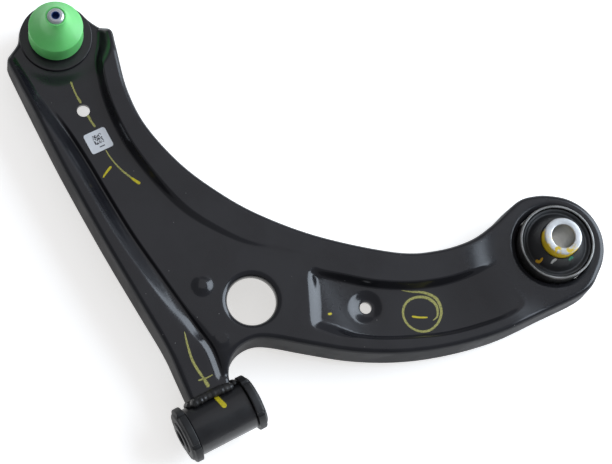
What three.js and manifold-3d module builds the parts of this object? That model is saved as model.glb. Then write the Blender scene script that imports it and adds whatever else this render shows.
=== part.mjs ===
// Front lower control arm of a small car: a deep-drawn steel arm carrying a welded front bush
// whose axis lies along X, a pressed-in rear bush whose axis is upright, and a ball joint.
// Millimetres, +Z up. Everything is laid out with the front bush centre at 0,0,0 and the rear
// bush centre on +X, and the finished arm is then moved so that it stands on Z = 0.
import * as THREE from 'three';
import { mergeVertices } from 'three/addons/utils/BufferGeometryUtils.js';
import Module from 'manifold-3d';

const wasm = await Module();
wasm.setup();

// ---- driving dimensions -------------------------------------------------------------------
const pivotSpacing = 268;          // front bush centre to rear bush centre, along X
const jointReach = 294;            // pivot axis to ball joint centre, along Y
const jointOffset = 22;            // front bush centre to ball joint centre, along X
const gap = 0.3;                   // between pieces that touch in the real arm
const runningGap = 0.4;            // between pieces that move on each other

// pressed sheet
const sheet = 3;
const bend = 3.6;                  // outer radius where the top turns into the flange
const draft = 1.3;                 // how far the flange leans out by its lower edge
const railTop = 16;                // top of the rails above the pivot axis
const plateauTop = 15.4;
const jointPlateTop = 5.5;
const rearPlateTop = 13;
const neckTop = 10.5;
const flangeBottom = -12;
const shallowFlangeBottom = -2;    // round the ball joint
const rearFlangeBottom = 2;        // round the rear bush
const grooveDepth = 2.6;
const pocketFloor = 7.5;
const pocketRamp = 4.6;            // how far the recess's floor climbs towards its left end
const valleyDepth = 1.9;           // hollow between the left rail and the middle, at the neck
const armFloor = 7;                // floor of the long arm beside the ball joint
const bigHoleRadius = 17;
const bigHoleLip = 4.5;
const jointHoleRadius = 4.5;
const pocketHoleRadius = 4.2;

// front bush
const tubeRadius = 17;
const tubeWall = 2.2;
const tubeLength = 43;
const frontShellWall = 1.4;
const frontFlangeLip = 3;          // how far each rubber flange stands out past the tube
const frontFlangeThickness = 6.8;
const frontSleeveRadius = 10.5;
const frontBoreRadius = 6.2;
const frontSleeveProud = 1.2;      // how far the sleeve stands past each rubber flange
const weldRadius = 2.3;
const sideWeldRadius = 1.5;

// rear bush
const rearShellRadius = 27;
const rearShellWall = 1.8;
const rearShellTop = 21;
const rearShellBottom = -9;
const rearLipBend = 5;
const rearLand = 4.9;              // flat rim between the rounded lip and the outline
const rearCollarBottom = -7;
const rearSleeveRadius = 13.35;
const rearBoreRadius = 8.25;
const rearSleeveTop = 36;
const rearSleeveBottom = -23;

// ball joint
const ballRadius = 12.5;
const ballHeight = -6;             // ball centre relative to the pivot axis
const seatWall = 2.6;
const seatCover = 0.64;            // height of the seat's edge over the ball centre, per ball radius
const housingWall = 4.6;
const rolledLip = 1;                // housing rim rolled under the end plate
const endPlateThickness = 1.8;
const housingFlangeLip = 5.5;      // how far the flange stands out past the housing
const housingFlangeThickness = 1.6;
const mouthClearance = 2.45;       // round the ball at the housing's mouth, so that the stud can lean
const housingNeckWall = 2.4;
const housingNeckHeight = 4.6;
const stemRadius = 6.9;
const taperLargeRadius = 8.4;
const taperSmallRadius = 7.1;
const threadRadius = 5.9;
const studTop = 46;
const socketRadius = 2.9;          // across the corners of the hexagon key socket
const socketDepth = 6;
const capRoom = 4.8;               // from the housing's neck to the cap's outside
const capWall = 1.1;
const capSkirtBottom = 11;
const capShoulder = 26.5;
const capTop = 44.8;
const landRound = 1;               // plate left round the ball joint housing's flange
const snapRingWidth = 2.2;
const snapRingThickness = 1.8;

const labelWidth = 16.5;
const labelLength = 15.7;
const labelThickness = 0.25;

const frontCentre = new THREE.Vector2(0, 0);
const rearCentre = new THREE.Vector2(pivotSpacing, 0);
const jointCentre = new THREE.Vector2(jointOffset, jointReach);

// Sides of round pieces
const manySides = 32;
const fewSides = 26;

// ---- plan layout ----------------------------------------------------------------------------
// The plan is drawn for this layout of the three centres and these two end sizes; `plan` stretches
// the stretches between the centres when one of them moves, and widens each end with its bush.
const drawn = { spacing: 268, reach: 294, offset: 22, tube: 17, rearEnd: 37.2 };
const smooth = THREE.MathUtils.smoothstep;
const lerp = THREE.MathUtils.lerp;
const frontFlangeRadius = tubeRadius + frontFlangeLip;
const seatRadius = ballRadius + seatWall;
const seatTop = ballHeight + seatCover * ballRadius;
const housingRadius = seatRadius + gap + housingWall;
const housingFlangeRadius = housingRadius + housingFlangeLip;
const housingMouthRadius = Math.sqrt(ballRadius ** 2 - (seatTop + gap - ballHeight) ** 2) + mouthClearance;
const housingNeckRadius = housingMouthRadius + housingNeckWall;
const capRadius = housingNeckRadius + capRoom;
const noseRadius = housingFlangeRadius + landRound;
const rearEndRadius = rearShellRadius + gap + rearLipBend + rearLand;

function plan(x, y) {
  const across = (pivotSpacing - drawn.spacing) * smooth(x, 60, 225);
  const sideways = (jointOffset - drawn.offset) * smooth(y, 150, 235);
  const out = (jointReach - drawn.reach) * smooth(y, 40, 225);
  const saddle = (tubeRadius - drawn.tube) * (smooth(y, 4, 16) - smooth(y, 40, 120));
  const rearSide = THREE.MathUtils.clamp(y / drawn.rearEnd, -1.1, 1.1);
  const widened = (rearEndRadius - drawn.rearEnd) * rearSide * smooth(x, 130, 236);
  return new THREE.Vector2(x + across + sideways, y + out + saddle + widened);
}

function polar(centre, radius, degrees) {
  const angle = THREE.MathUtils.degToRad(degrees);
  return new THREE.Vector2(centre.x + radius * Math.cos(angle), centre.y + radius * Math.sin(angle));
}

// One closed outline, clockwise from the neck: left edge, nose, concave edge, rear end, lower
// edge and the inside corner back to the neck.
function armOutline() {
  const neck = new THREE.Shape();
  neck.moveTo(-14.5, 4);
  neck.splineThru([
    [-12.6, 36], [-11.6, 58], [-13.6, 94], [-16.2, 142], [-17.8, 200], [-17.6, 244], [-17, 288],
  ].map(([x, y]) => plan(x, y)));
  const corner = plan(-16.5, 294.5);
  neck.lineTo(corner.x, corner.y);
  for (let degrees = 162; degrees >= 22; degrees -= 10) {
    const point = polar(jointCentre, noseRadius, degrees);
    neck.lineTo(point.x, point.y);
  }
  neck.splineThru([[52, 291.5], [60, 281.5]].map(([x, y]) => plan(x, y)));
  neck.splineThru([
    [54.5, 262], [48.4, 235], [47.9, 206], [56.5, 171], [70.6, 141], [89, 113], [119, 80.6],
    [162, 46.6], [189, 34.4], [216, 30.2], [242, 34.4],
  ].map(([x, y]) => plan(x, y)));
  neck.splineThru([polar(rearCentre, rearEndRadius + 3.4, 97), polar(rearCentre, rearEndRadius + 1, 72)]);
  for (let degrees = 62; degrees >= -62; degrees -= 8) {
    const point = polar(rearCentre, rearEndRadius, degrees);
    neck.lineTo(point.x, point.y);
  }
  neck.splineThru([
    [272, -40], [236, -39.6], [200, -38], [165, -31], [133, -20], [103, -4.2], [76, 15.2],
    [58.6, 28.6], [47, 35.4], [36, 36.4], [27, 33.4], [21, 27.6], [16.6, 18], [15.6, 4],
  ].map(([x, y]) => plan(x, y)));
  neck.closePath();
  return neck;
}

// Inner edges of the two rails of the long arm, from the ball joint down.
function curved(corners) {
  const points = corners.map(([x, y]) => plan(x, y));
  return new THREE.SplineCurve(points).getSpacedPoints(60);
}
const grooveLine = curved([
  [-9.5, 294], [-8.4, 273], [-5.2, 249], [-1.6, 224], [0.4, 198], [1.4, 172], [3.2, 139],
  [7, 106], [10.4, 80], [13.8, 58], [16, 42], [14, 24],
]);
const stepLine = curved([
  [50, 284], [43.4, 271], [37.4, 254], [33, 236], [31.2, 214], [32.2, 192], [37.4, 163],
  [45, 138], [57, 117], [72, 98], [90, 84],
]);

// Recess of the short arm: upper wall, then the open end, the lower wall and the ramp.
function pocketOutline() {
  const start = plan(103, 60);
  const pocket = new THREE.Shape();
  pocket.moveTo(start.x, start.y);
  pocket.splineThru([[118, 48.6], [138, 33.4], [161, 20.6], [185, 12.4], [207, 9], [226, 8]]
    .map(([x, y]) => plan(x, y)));
  const end = plan(226, -27);
  pocket.lineTo(end.x, end.y);
  pocket.splineThru([[207, -28.6], [173, -22.4], [149, -14], [122, -1.6], [102, 11.6], [87, 26]]
    .map(([x, y]) => plan(x, y)));
  pocket.closePath();
  return pocket;
}

const bigHole = plan(55.7, 60.8);
const jointHole = plan(14.8, 236);
const pocketHole = plan(126, 21.7);
const dimple = plan(29.6, 84.8);
const labelSpot = plan(14.2, 211.4);

// ---- plan measuring -------------------------------------------------------------------------
// Distance from a point to a line of points: positive on an open line's right-hand side, and
// positive inside a closed one.
function sideDistance(point, line, closed) {
  let nearest = Infinity;
  let side = 1;
  const last = closed ? line.length : line.length - 1;
  for (let i = 0; i < last; i += 1) {
    const a = line[i];
    const b = line[(i + 1) % line.length];
    const length2 = a.distanceToSquared(b);
    const along = ((point.x - a.x) * (b.x - a.x) + (point.y - a.y) * (b.y - a.y)) / length2;
    const t = THREE.MathUtils.clamp(along, 0, 1);
    const dx = point.x - lerp(a.x, b.x, t);
    const dy = point.y - lerp(a.y, b.y, t);
    const distance = Math.hypot(dx, dy);
    if (distance < nearest - 1e-9) {
      nearest = distance;
      side = (b.x - a.x) * dy - (b.y - a.y) * dx > 0 ? -1 : 1;
    }
  }
  if (closed) side = isInside(point, line) ? 1 : -1;
  return nearest * side;
}

function isInside(point, ring) {
  let inside = false;
  for (let i = 0, j = ring.length - 1; i < ring.length; j = i, i += 1) {
    const a = ring[i];
    const b = ring[j];
    if ((a.y > point.y) !== (b.y > point.y)) {
      const crossing = a.x + ((point.y - a.y) / (b.y - a.y)) * (b.x - a.x);
      if (point.x < crossing) inside = !inside;
    }
  }
  return inside;
}

// Top surface of the sheet above the pivot axis at a place in plan.
function topHeight(point) {
  const reach = point.y * (drawn.reach / jointReach);
  const toJoint = point.distanceTo(jointCentre);
  const toRear = point.distanceTo(rearCentre);
  const floor = lerp(plateauTop, armFloor, smooth(reach, 80, 232));
  const right = -sideDistance(point, stepLine, false);
  const left = sideDistance(point, grooveLine, false);
  const crest = lerp(neckTop + 2.5, railTop, smooth(reach, 30, 110));
  const groove = floor - grooveDepth * smooth(reach, 34, 60) * smooth(-reach, -250, -215);
  let height = lerp(floor, railTop, smooth(right, -2.6, 2.6) * smooth(reach, 60, 100));
  if (left > -2.2) {
    const rail = lerp(Math.min(groove, crest), crest, smooth(left, 0, 11));
    height = lerp(rail, height, smooth(-left, 0, 2.2));
  }
  const inPocket = sideDistance(point, pocketLine, true);
  const spacing = point.x * (drawn.spacing / pivotSpacing);
  const pocket = lerp(pocketFloor, rearPlateTop, smooth(spacing, 172, 226))
    + pocketRamp * smooth(-spacing, -136, -88) ** 1.5;
  const ramp = smooth(spacing, 96, 112);
  const wall = lerp(5, 2.4, ramp);
  height = lerp(height, pocket, smooth(inPocket, -wall, wall));
  height = lerp(rearPlateTop, height, smooth(toRear, rearEndRadius + 4, rearEndRadius + 32));
  height = lerp(jointPlateTop, height, smooth(toJoint, noseRadius + 1.5, noseRadius + 15));
  height = lerp(neckTop, height, smooth(point.distanceTo(frontCentre), tubeRadius + 1, tubeRadius + 38));
  const valley = Math.exp(-(((left - 0.5) / 3) ** 2)) * smooth(reach, 15, 24) * smooth(-reach, -84, -50);
  height -= valleyDepth * valley;
  height += 1.9 * smooth(-point.distanceTo(dimple), -9, -1.5);
  height -= 2.6 * smooth(-point.distanceTo(pocketHole), -13, -4.5);
  return height;
}

// ---- mesh helpers ---------------------------------------------------------------------------
function resample(points, count) {
  const closed = [...points, points[0]];
  const lengths = [0];
  for (let i = 1; i < closed.length; i += 1) {
    lengths.push(lengths[i - 1] + closed[i].distanceTo(closed[i - 1]));
  }
  const total = lengths[lengths.length - 1];
  const result = [];
  let segment = 0;
  for (let i = 0; i < count; i += 1) {
    const target = (total * i) / count;
    while (lengths[segment + 1] < target) segment += 1;
    const t = (target - lengths[segment]) / (lengths[segment + 1] - lengths[segment]);
    result.push(closed[segment].clone().lerp(closed[segment + 1], t));
  }
  return result;
}

// Evenly spaced outline with its corners rounded by averaging neighbours.
function roundedOutline(shape, spacing, rounding) {
  let points = shape.getPoints(8);
  const closing = points[0].distanceTo(points[points.length - 1]);
  if (closing < 1e-6) points.pop();
  if (THREE.ShapeUtils.area(points) < 0) points.reverse();
  const length = points.reduce((sum, p, i) => sum + p.distanceTo(points[(i + 1) % points.length]), 0);
  const fine = Math.round(length);
  points = resample(points, fine);
  for (let pass = 0; pass < rounding; pass += 1) {
    points = points.map((p, i) => {
      const before = points[(i + fine - 1) % fine];
      const after = points[(i + 1) % fine];
      return new THREE.Vector2((before.x + 2 * p.x + after.x) / 4, (before.y + 2 * p.y + after.y) / 4);
    });
  }
  return resample(points, Math.round(length / spacing));
}

// The same outline moved inwards (or outwards, with a negative distance).
function inset(ring, distance) {
  const count = ring.length;
  return ring.map((point, i) => {
    const before = ring[(i + count - 1) % count];
    const after = ring[(i + 1) % count];
    const along = after.clone().sub(before).normalize();
    return new THREE.Vector2(point.x - along.y * distance, point.y + along.x * distance);
  });
}

function circle(centre, radius, count) {
  return Array.from({ length: count }, (_, i) => polar(centre, radius, (360 * i) / count));
}

// Delaunay triangles of scattered points, as triples of indices, counter-clockwise.
function triangulate(points) {
  const far = 10000;
  const all = [...points, new THREE.Vector2(-far, -far), new THREE.Vector2(far, -far), new THREE.Vector2(0, far)];
  const around = (a, b, c) => {
    const [p, q, r] = [all[a], all[b], all[c]];
    const d = 2 * ((q.x - p.x) * (r.y - p.y) - (q.y - p.y) * (r.x - p.x));
    const q2 = (q.x - p.x) ** 2 + (q.y - p.y) ** 2;
    const r2 = (r.x - p.x) ** 2 + (r.y - p.y) ** 2;
    const ux = ((r.y - p.y) * q2 - (q.y - p.y) * r2) / d;
    const uy = ((q.x - p.x) * r2 - (r.x - p.x) * q2) / d;
    return { a, b, c, x: p.x + ux, y: p.y + uy, r2: ux * ux + uy * uy };
  };
  let triangles = [around(points.length, points.length + 1, points.length + 2)];
  points.forEach((point, index) => {
    const edges = new Map();
    const kept = [];
    for (const t of triangles) {
      if ((point.x - t.x) ** 2 + (point.y - t.y) ** 2 >= t.r2 * (1 + 1e-12)) {
        kept.push(t);
      } else {
        for (const [p, q] of [[t.a, t.b], [t.b, t.c], [t.c, t.a]]) {
          if (edges.has(`${q},${p}`)) edges.delete(`${q},${p}`);
          else edges.set(`${p},${q}`, [p, q]);
        }
      }
    }
    triangles = kept;
    for (const [p, q] of edges.values()) triangles.push(around(p, q, index));
  });
  return triangles.filter((t) => Math.max(t.a, t.b, t.c) < points.length).map((t) => [t.a, t.b, t.c]);
}

// Collects corners and triangles of one closed skin.
class Skin {
  constructor() {
    this.positions = [];
    this.indices = [];
  }

  add(point, z) {
    this.positions.push(point.x, point.y, z);
    return this.positions.length / 3 - 1;
  }

  ring(points, height) {
    return points.map((point) => this.add(point, typeof height === 'number' ? height : height(point)));
  }

  // Band between two rings of equal count; it faces right when walked along `from`, with `to` above.
  band(from, to) {
    from.forEach((a, i) => {
      const j = (i + 1) % from.length;
      this.indices.push(a, from[j], to[j], a, to[j], to[i]);
    });
  }

  geometry() {
    const geometry = new THREE.BufferGeometry();
    geometry.setAttribute('position', new THREE.Float32BufferAttribute(this.positions, 3));
    geometry.setIndex(this.indices);
    return geometry;
  }
}

function toSolid(geometry) {
  const bare = geometry.clone();
  bare.deleteAttribute('normal');
  bare.deleteAttribute('uv');
  const merged = mergeVertices(bare, 1e-4);
  return new wasm.Manifold(new wasm.Mesh({
    numProp: 3,
    vertProperties: new Float32Array(merged.attributes.position.array),
    triVerts: new Uint32Array(merged.index.array),
  }));
}

function toGeometry(solid) {
  const mesh = solid.getMesh();
  const geometry = new THREE.BufferGeometry();
  geometry.setAttribute('position', new THREE.BufferAttribute(new Float32Array(mesh.vertProperties), 3));
  geometry.setIndex(new THREE.BufferAttribute(new Uint32Array(mesh.triVerts), 1));
  geometry.computeVertexNormals();
  return geometry;
}

// Body of revolution about Z from [radius, height] pairs, listed counter-clockwise with the
// axis on the left; a profile that leaves the axis closes on itself.
function turned(profile, segments = fewSides) {
  const points = profile.map(([radius, height]) => new THREE.Vector2(radius, height));
  const onAxis = points[0].x < 1e-6 && points[points.length - 1].x < 1e-6;
  if (!onAxis) points.push(points[0].clone());
  const geometry = new THREE.LatheGeometry(points, segments);
  geometry.rotateX(Math.PI / 2);
  return geometry;
}

function arcPoints(centre, radius, fromDegrees, toDegrees, steps) {
  return Array.from({ length: steps + 1 }, (_, i) => {
    const point = polar(new THREE.Vector2(...centre), radius, lerp(fromDegrees, toDegrees, i / steps));
    return [point.x, point.y];
  });
}

function block(x0, x1, y0, y1, z0, z1) {
  const geometry = new THREE.BoxGeometry(x1 - x0, y1 - y0, z1 - z0);
  geometry.translate((x0 + x1) / 2, (y0 + y1) / 2, (z0 + z1) / 2);
  return geometry;
}

function sweptBead(points, radius) {
  const section = new THREE.Shape(circle(new THREE.Vector2(0, 0), radius, 8));
  const path = new THREE.CatmullRomCurve3(points);
  return new THREE.ExtrudeGeometry(section, { steps: 10, bevelEnabled: false, extrudePath: path });
}

// ---- materials ------------------------------------------------------------------------------
const paint = { color: 0x17181b, roughness: 0.3, metalness: 0.2 };
const rubber = { color: 0x121212, roughness: 0.85, metalness: 0 };
const steel = { color: 0x8f9294, roughness: 0.35, metalness: 0.9 };
const zinc = { color: 0xc9cccd, roughness: 0.3, metalness: 0.85 };
const polymer = { color: 0xe6e2d4, roughness: 0.5, metalness: 0 };
const greenPlastic = { color: 0x35c04f, roughness: 0.35, metalness: 0 };
const paper = { color: 0xf2f2f0, roughness: 0.6, metalness: 0 };

const arm = new THREE.Group();

function addPiece(name, geometry, look, parent = arm) {
  const mesh = new THREE.Mesh(geometry, new THREE.MeshStandardMaterial(look));
  mesh.name = name;
  parent.add(mesh);
  return mesh;
}

// ---- arm pressing ---------------------------------------------------------------------------
const spacing = 6.2;
const sheetOutline = roundedOutline(armOutline(), spacing, 12);
const pocketLine = roundedOutline(pocketOutline(), 2.5, 10);

function pressedSheet() {
  const outer = sheetOutline;
  const edgeTop = (point) => topHeight(point);
  const skin = new Skin();

  // outer skin, from the flange's lower edge up over the bend
  const quarter = bend * (1 - Math.SQRT1_2);
  const foot = skin.ring(inset(outer, -draft), flangeBottom);
  const wallTop = skin.ring(outer, (p) => edgeTop(p) - bend);
  const bendMiddle = skin.ring(inset(outer, quarter), (p) => edgeTop(p) - quarter);
  // inner skin, one sheet thickness inside
  const innerFoot = skin.ring(inset(outer, sheet - draft), flangeBottom);
  const innerWallTop = skin.ring(inset(outer, sheet), (p) => edgeTop(p) - bend);
  const rim = inset(outer, bend);

  // holes: plan ring where each one's rounded lip or edge meets the open sheet
  const lipRadius = rearShellRadius + gap;
  const holes = [
    { centre: bigHole, radius: bigHoleRadius, lip: bigHoleLip, bottom: plateauTop - bigHoleLip - 3, count: 24 },
    { centre: rearCentre, radius: lipRadius, lip: rearLipBend, bottom: rearCollarBottom, count: 40 },
    { centre: jointCentre, radius: housingRadius + gap, lip: 0, count: 28 },
    { centre: jointHole, radius: jointHoleRadius, lip: 0, count: 12 },
    { centre: pocketHole, radius: pocketHoleRadius, lip: 0, count: 12 },
  ];
  holes.forEach((hole) => {
    hole.ring = circle(hole.centre, hole.radius + hole.lip, hole.count);
  });

  // scattered points of the open sheet: boundary rings first, then feature lines, then a grid
  const borders = [rim, ...holes.map((hole) => hole.ring)];
  const points = borders.flat();
  const keepClear = (point, clearance) => borders.every((ring) => {
    const distance = Math.abs(sideDistance(point, ring, true));
    return distance > clearance;
  });
  const addLoose = (point, clearance, apart) => {
    const inSheet = isInside(point, rim) && !holes.some((hole) => isInside(point, hole.ring));
    if (!inSheet || !keepClear(point, clearance)) return;
    if (points.some((other) => other.distanceTo(point) < apart)) return;
    points.push(point);
  };
  const follow = (line, offsets) => {
    const curve = new THREE.SplineCurve(line);
    const steps = Math.round(curve.getLength() / 5);
    for (let i = 0; i <= steps; i += 1) {
      const at = curve.getPointAt(i / steps);
      const along = curve.getTangentAt(i / steps);
      offsets.forEach((offset) => {
        addLoose(new THREE.Vector2(at.x + along.y * offset, at.y - along.x * offset), 2.6, 2.1);
      });
    }
  };
  follow(grooveLine, [-2.2, 0, 5.5, 11]);
  follow(stepLine, [-2.6, 2.6]);
  follow([...pocketLine, pocketLine[0]], [-2.4, 2.4]);
  [4.5, 8].forEach((radius) => circle(dimple, radius, 10).forEach((p) => addLoose(p, 2, 2)));
  circle(pocketHole, 12, 14).forEach((p) => addLoose(p, 2, 2));
  [noseRadius + 1.5, noseRadius + 8, noseRadius + 15].forEach((radius) => {
    circle(jointCentre, radius, Math.round(radius)).forEach((p) => addLoose(p, 2.6, 3));
  });
  const box = new THREE.Box2().setFromPoints(rim);
  const pitch = 10.5;
  for (let row = 0, y = box.min.y; y < box.max.y; y += pitch * 0.866, row += 1) {
    for (let x = box.min.x + (row % 2) * pitch * 0.5; x < box.max.x; x += pitch) {
      addLoose(new THREE.Vector2(x, y), 4, 5.6);
    }
  }

  const triangles = triangulate(points).filter((corners) => {
    const [a, b, c] = corners.map((i) => points[i]);
    const middle = new THREE.Vector2((a.x + b.x + c.x) / 3, (a.y + b.y + c.y) / 3);
    return isInside(middle, rim) && !holes.some((hole) => isInside(middle, hole.ring));
  });
  const heights = points.map(topHeight);
  const top = points.map((p, i) => skin.add(p, heights[i]));
  const under = points.map((p, i) => skin.add(p, heights[i] - sheet));
  triangles.forEach(([a, b, c]) => {
    skin.indices.push(top[a], top[b], top[c]);
    skin.indices.push(under[a], under[c], under[b]);
  });

  skin.band(foot, wallTop);
  skin.band(wallTop, bendMiddle);
  skin.band(bendMiddle, top.slice(0, rim.length));
  skin.band(innerWallTop, innerFoot);
  skin.band(under.slice(0, rim.length), innerWallTop);
  skin.band(innerFoot, foot);

  // holes, walked the other way round so that their bands face the opening
  let start = rim.length;
  holes.forEach((hole) => {
    const range = [start, start + hole.count];
    start += hole.count;
    const upper = top.slice(...range).reverse();
    const lower = under.slice(...range).reverse();
    if (hole.lip === 0) {
      skin.band(lower, upper);
      return;
    }
    const level = topHeight(hole.ring[0]);
    const inner = circle(hole.centre, hole.radius, hole.count).reverse();
    const waist = circle(hole.centre, hole.radius + hole.lip * (1 - Math.SQRT1_2), hole.count).reverse();
    const back = circle(hole.centre, hole.radius + sheet, hole.count).reverse();
    const waistRing = skin.ring(waist, level - hole.lip * (1 - Math.SQRT1_2));
    const throat = skin.ring(inner, level - hole.lip);
    const mouth = skin.ring(inner, hole.bottom);
    const backMouth = skin.ring(back, hole.bottom);
    const backThroat = skin.ring(back, level - hole.lip);
    skin.band(waistRing, upper);
    skin.band(throat, waistRing);
    skin.band(mouth, throat);
    skin.band(backMouth, mouth);
    skin.band(backThroat, backMouth);
    skin.band(lower, backThroat);
  });

  // cuts: shallow flange round the ball joint and round the rear bush, and the saddle for the tube
  const nose = block(-60, 60, 0, 60, flangeBottom - 10, shallowFlangeBottom);
  nose.rotateZ(THREE.MathUtils.degToRad(-9.8));
  nose.translate(jointCentre.x, jointCentre.y - 7.5, 0);
  const rear = block(15.5, 60, -60, 60, flangeBottom - 10, rearFlangeBottom);
  rear.translate(rearCentre.x, 0, 0);
  const rearKeep = turned([[0, -30], [rearShellRadius + gap + sheet + 1, -30],
    [rearShellRadius + gap + sheet + 1, 30], [0, 30]], 40);
  rearKeep.translate(rearCentre.x, 0, 0);
  const saddle = new THREE.CylinderGeometry(tubeRadius + gap, tubeRadius + gap, tubeLength * 2, 48);
  saddle.rotateZ(Math.PI / 2);
  const rearCut = toSolid(rear).subtract(toSolid(rearKeep));
  return toGeometry(toSolid(skin.geometry())
    .subtract(toSolid(nose)).subtract(rearCut).subtract(toSolid(saddle)));
}

addPiece('arm_pressing', pressedSheet(), paint);

// ---- front bush: tube welded to the arm, bonded bush pressed into it --------------------------
const frontBush = new THREE.Group();
frontBush.position.set(frontCentre.x, frontCentre.y, 0);
frontBush.rotation.y = Math.PI / 2;
arm.add(frontBush);

function sleeve(outerRadius, innerRadius, halfLength, chamfer, segments) {
  return turned([
    [innerRadius, -halfLength], [outerRadius - chamfer, -halfLength], [outerRadius, -halfLength + chamfer],
    [outerRadius, halfLength - chamfer], [outerRadius - chamfer, halfLength], [innerRadius, halfLength],
  ], segments);
}

const tubeBore = tubeRadius - tubeWall;
const frontShellRadius = tubeBore - gap;
const frontShellBore = frontShellRadius - frontShellWall;
const frontFlangeStart = tubeLength / 2 + gap;
const frontFlangeEnd = frontFlangeStart + frontFlangeThickness;
const frontRubberBore = frontSleeveRadius + runningGap;

addPiece('front_bush_tube', sleeve(tubeRadius, tubeBore, tubeLength / 2, 0.6, manySides), paint, frontBush);
addPiece('front_bush_shell', sleeve(frontShellRadius, frontShellBore, tubeLength / 2, 0.4, fewSides), steel, frontBush);
addPiece('front_bush_rubber', turned([
  [frontRubberBore, -frontFlangeEnd],
  [frontFlangeRadius - 3, -frontFlangeEnd],
  [frontFlangeRadius, -frontFlangeEnd + 2],
  [frontFlangeRadius, -frontFlangeStart],
  [frontShellBore - gap, -frontFlangeStart],
  [frontShellBore - gap, frontFlangeStart],
  [frontFlangeRadius, frontFlangeStart],
  [frontFlangeRadius, frontFlangeEnd - 2],
  [frontFlangeRadius - 3, frontFlangeEnd],
  [frontRubberBore, frontFlangeEnd],
], manySides), rubber, frontBush);
addPiece('front_inner_sleeve',
  sleeve(frontSleeveRadius, frontBoreRadius, frontFlangeEnd + frontSleeveProud, 0.6, fewSides), zinc, frontBush);

// Weld beads: one along the top of the saddle, one down each flange of the neck.
function weldBeads() {
  const atSaddle = sheetOutline.filter((p) => p.distanceTo(frontCentre) < 1.5 * tubeRadius && p.y > tubeRadius / 2);
  const leftEdge = Math.min(...atSaddle.map((p) => p.x));
  const neckSide = resample(sheetOutline, sheetOutline.length * 12)
    .filter((p) => p.distanceTo(frontCentre) < 1.5 * tubeRadius && p.y < tubeRadius);
  const rightEdge = Math.max(...neckSide.map((p) => p.x));
  const reachOut = tubeRadius + weldRadius + gap;
  const seat = neckTop + weldRadius + gap + 0.4;
  const setBack = Math.sqrt(reachOut ** 2 - seat ** 2);
  const top = [0, 0.25, 0.5, 0.75, 1]
    .map((t) => new THREE.Vector3(lerp(leftEdge + 1, rightEdge - 1, t), setBack, seat));
  addPiece('front_weld_top', sweptBead(top, weldRadius), paint);
  const side = (name, edge) => {
    const points = [24, 8, -8, -24].map((degrees, i) => {
      const place = polar(frontCentre, tubeRadius + sideWeldRadius + gap, degrees);
      const lean = draft * (i + 1.5) / 4;
      return new THREE.Vector3(edge + Math.sign(edge) * (lean + sideWeldRadius + gap), place.x, place.y);
    });
    addPiece(name, sweptBead(points, sideWeldRadius), paint);
  };
  side('front_weld_left', leftEdge);
  side('front_weld_right', rightEdge);
}
weldBeads();

// ---- rear bush --------------------------------------------------------------------------------
const rearBush = new THREE.Group();
rearBush.position.set(rearCentre.x, rearCentre.y, 0);
arm.add(rearBush);

const rearShellBore = rearShellRadius - rearShellWall;
const rearRubberRadius = rearShellBore - gap;
const rearRubberBore = rearSleeveRadius + runningGap;

addPiece('rear_bush_shell', turned([
  [rearShellBore, rearShellBottom], [rearShellRadius - 0.6, rearShellBottom],
  [rearShellRadius, rearShellBottom + 0.6], [rearShellRadius, rearShellTop - 0.6],
  [rearShellRadius - 0.6, rearShellTop], [rearShellBore, rearShellTop],
], manySides), steel, rearBush);
addPiece('rear_bush_rubber', turned([
  [rearRubberBore, rearShellBottom - 5],
  [rearRubberBore + 3.5, rearShellBottom - 3],
  [rearRubberRadius - 4.5, rearShellBottom + 2.5],
  [rearRubberRadius, rearShellBottom + 1.5],
  [rearRubberRadius, rearShellTop - 2],
  [rearRubberRadius - 3.5, rearShellTop - 3.2],
  [rearRubberBore + 4.5, rearShellTop + 1.5],
  [rearRubberBore + 1.5, rearShellTop + 5],
  [rearRubberBore, rearShellTop + 5.4],
], manySides), rubber, rearBush);
addPiece('rear_inner_sleeve', turned([
  [rearBoreRadius, rearSleeveBottom], [rearSleeveRadius - 0.8, rearSleeveBottom],
  [rearSleeveRadius, rearSleeveBottom + 0.8], [rearSleeveRadius, rearSleeveTop - 0.8],
  [rearSleeveRadius - 0.8, rearSleeveTop], [rearBoreRadius, rearSleeveTop],
], manySides), zinc, rearBush);

// ---- ball joint -------------------------------------------------------------------------------
const ballJoint = new THREE.Group();
ballJoint.position.set(jointCentre.x, jointCentre.y, 0);
arm.add(ballJoint);

const endPlateTop = ballHeight - ballRadius - runningGap;
const endPlateBottom = endPlateTop - endPlateThickness;
const seatBottom = endPlateTop + gap;
const housingBottom = endPlateBottom - gap - rolledLip;
const flangeUnder = jointPlateTop + gap;
const flangeTop = flangeUnder + housingFlangeThickness;
const neckTopHeight = flangeTop + housingNeckHeight;

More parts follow.
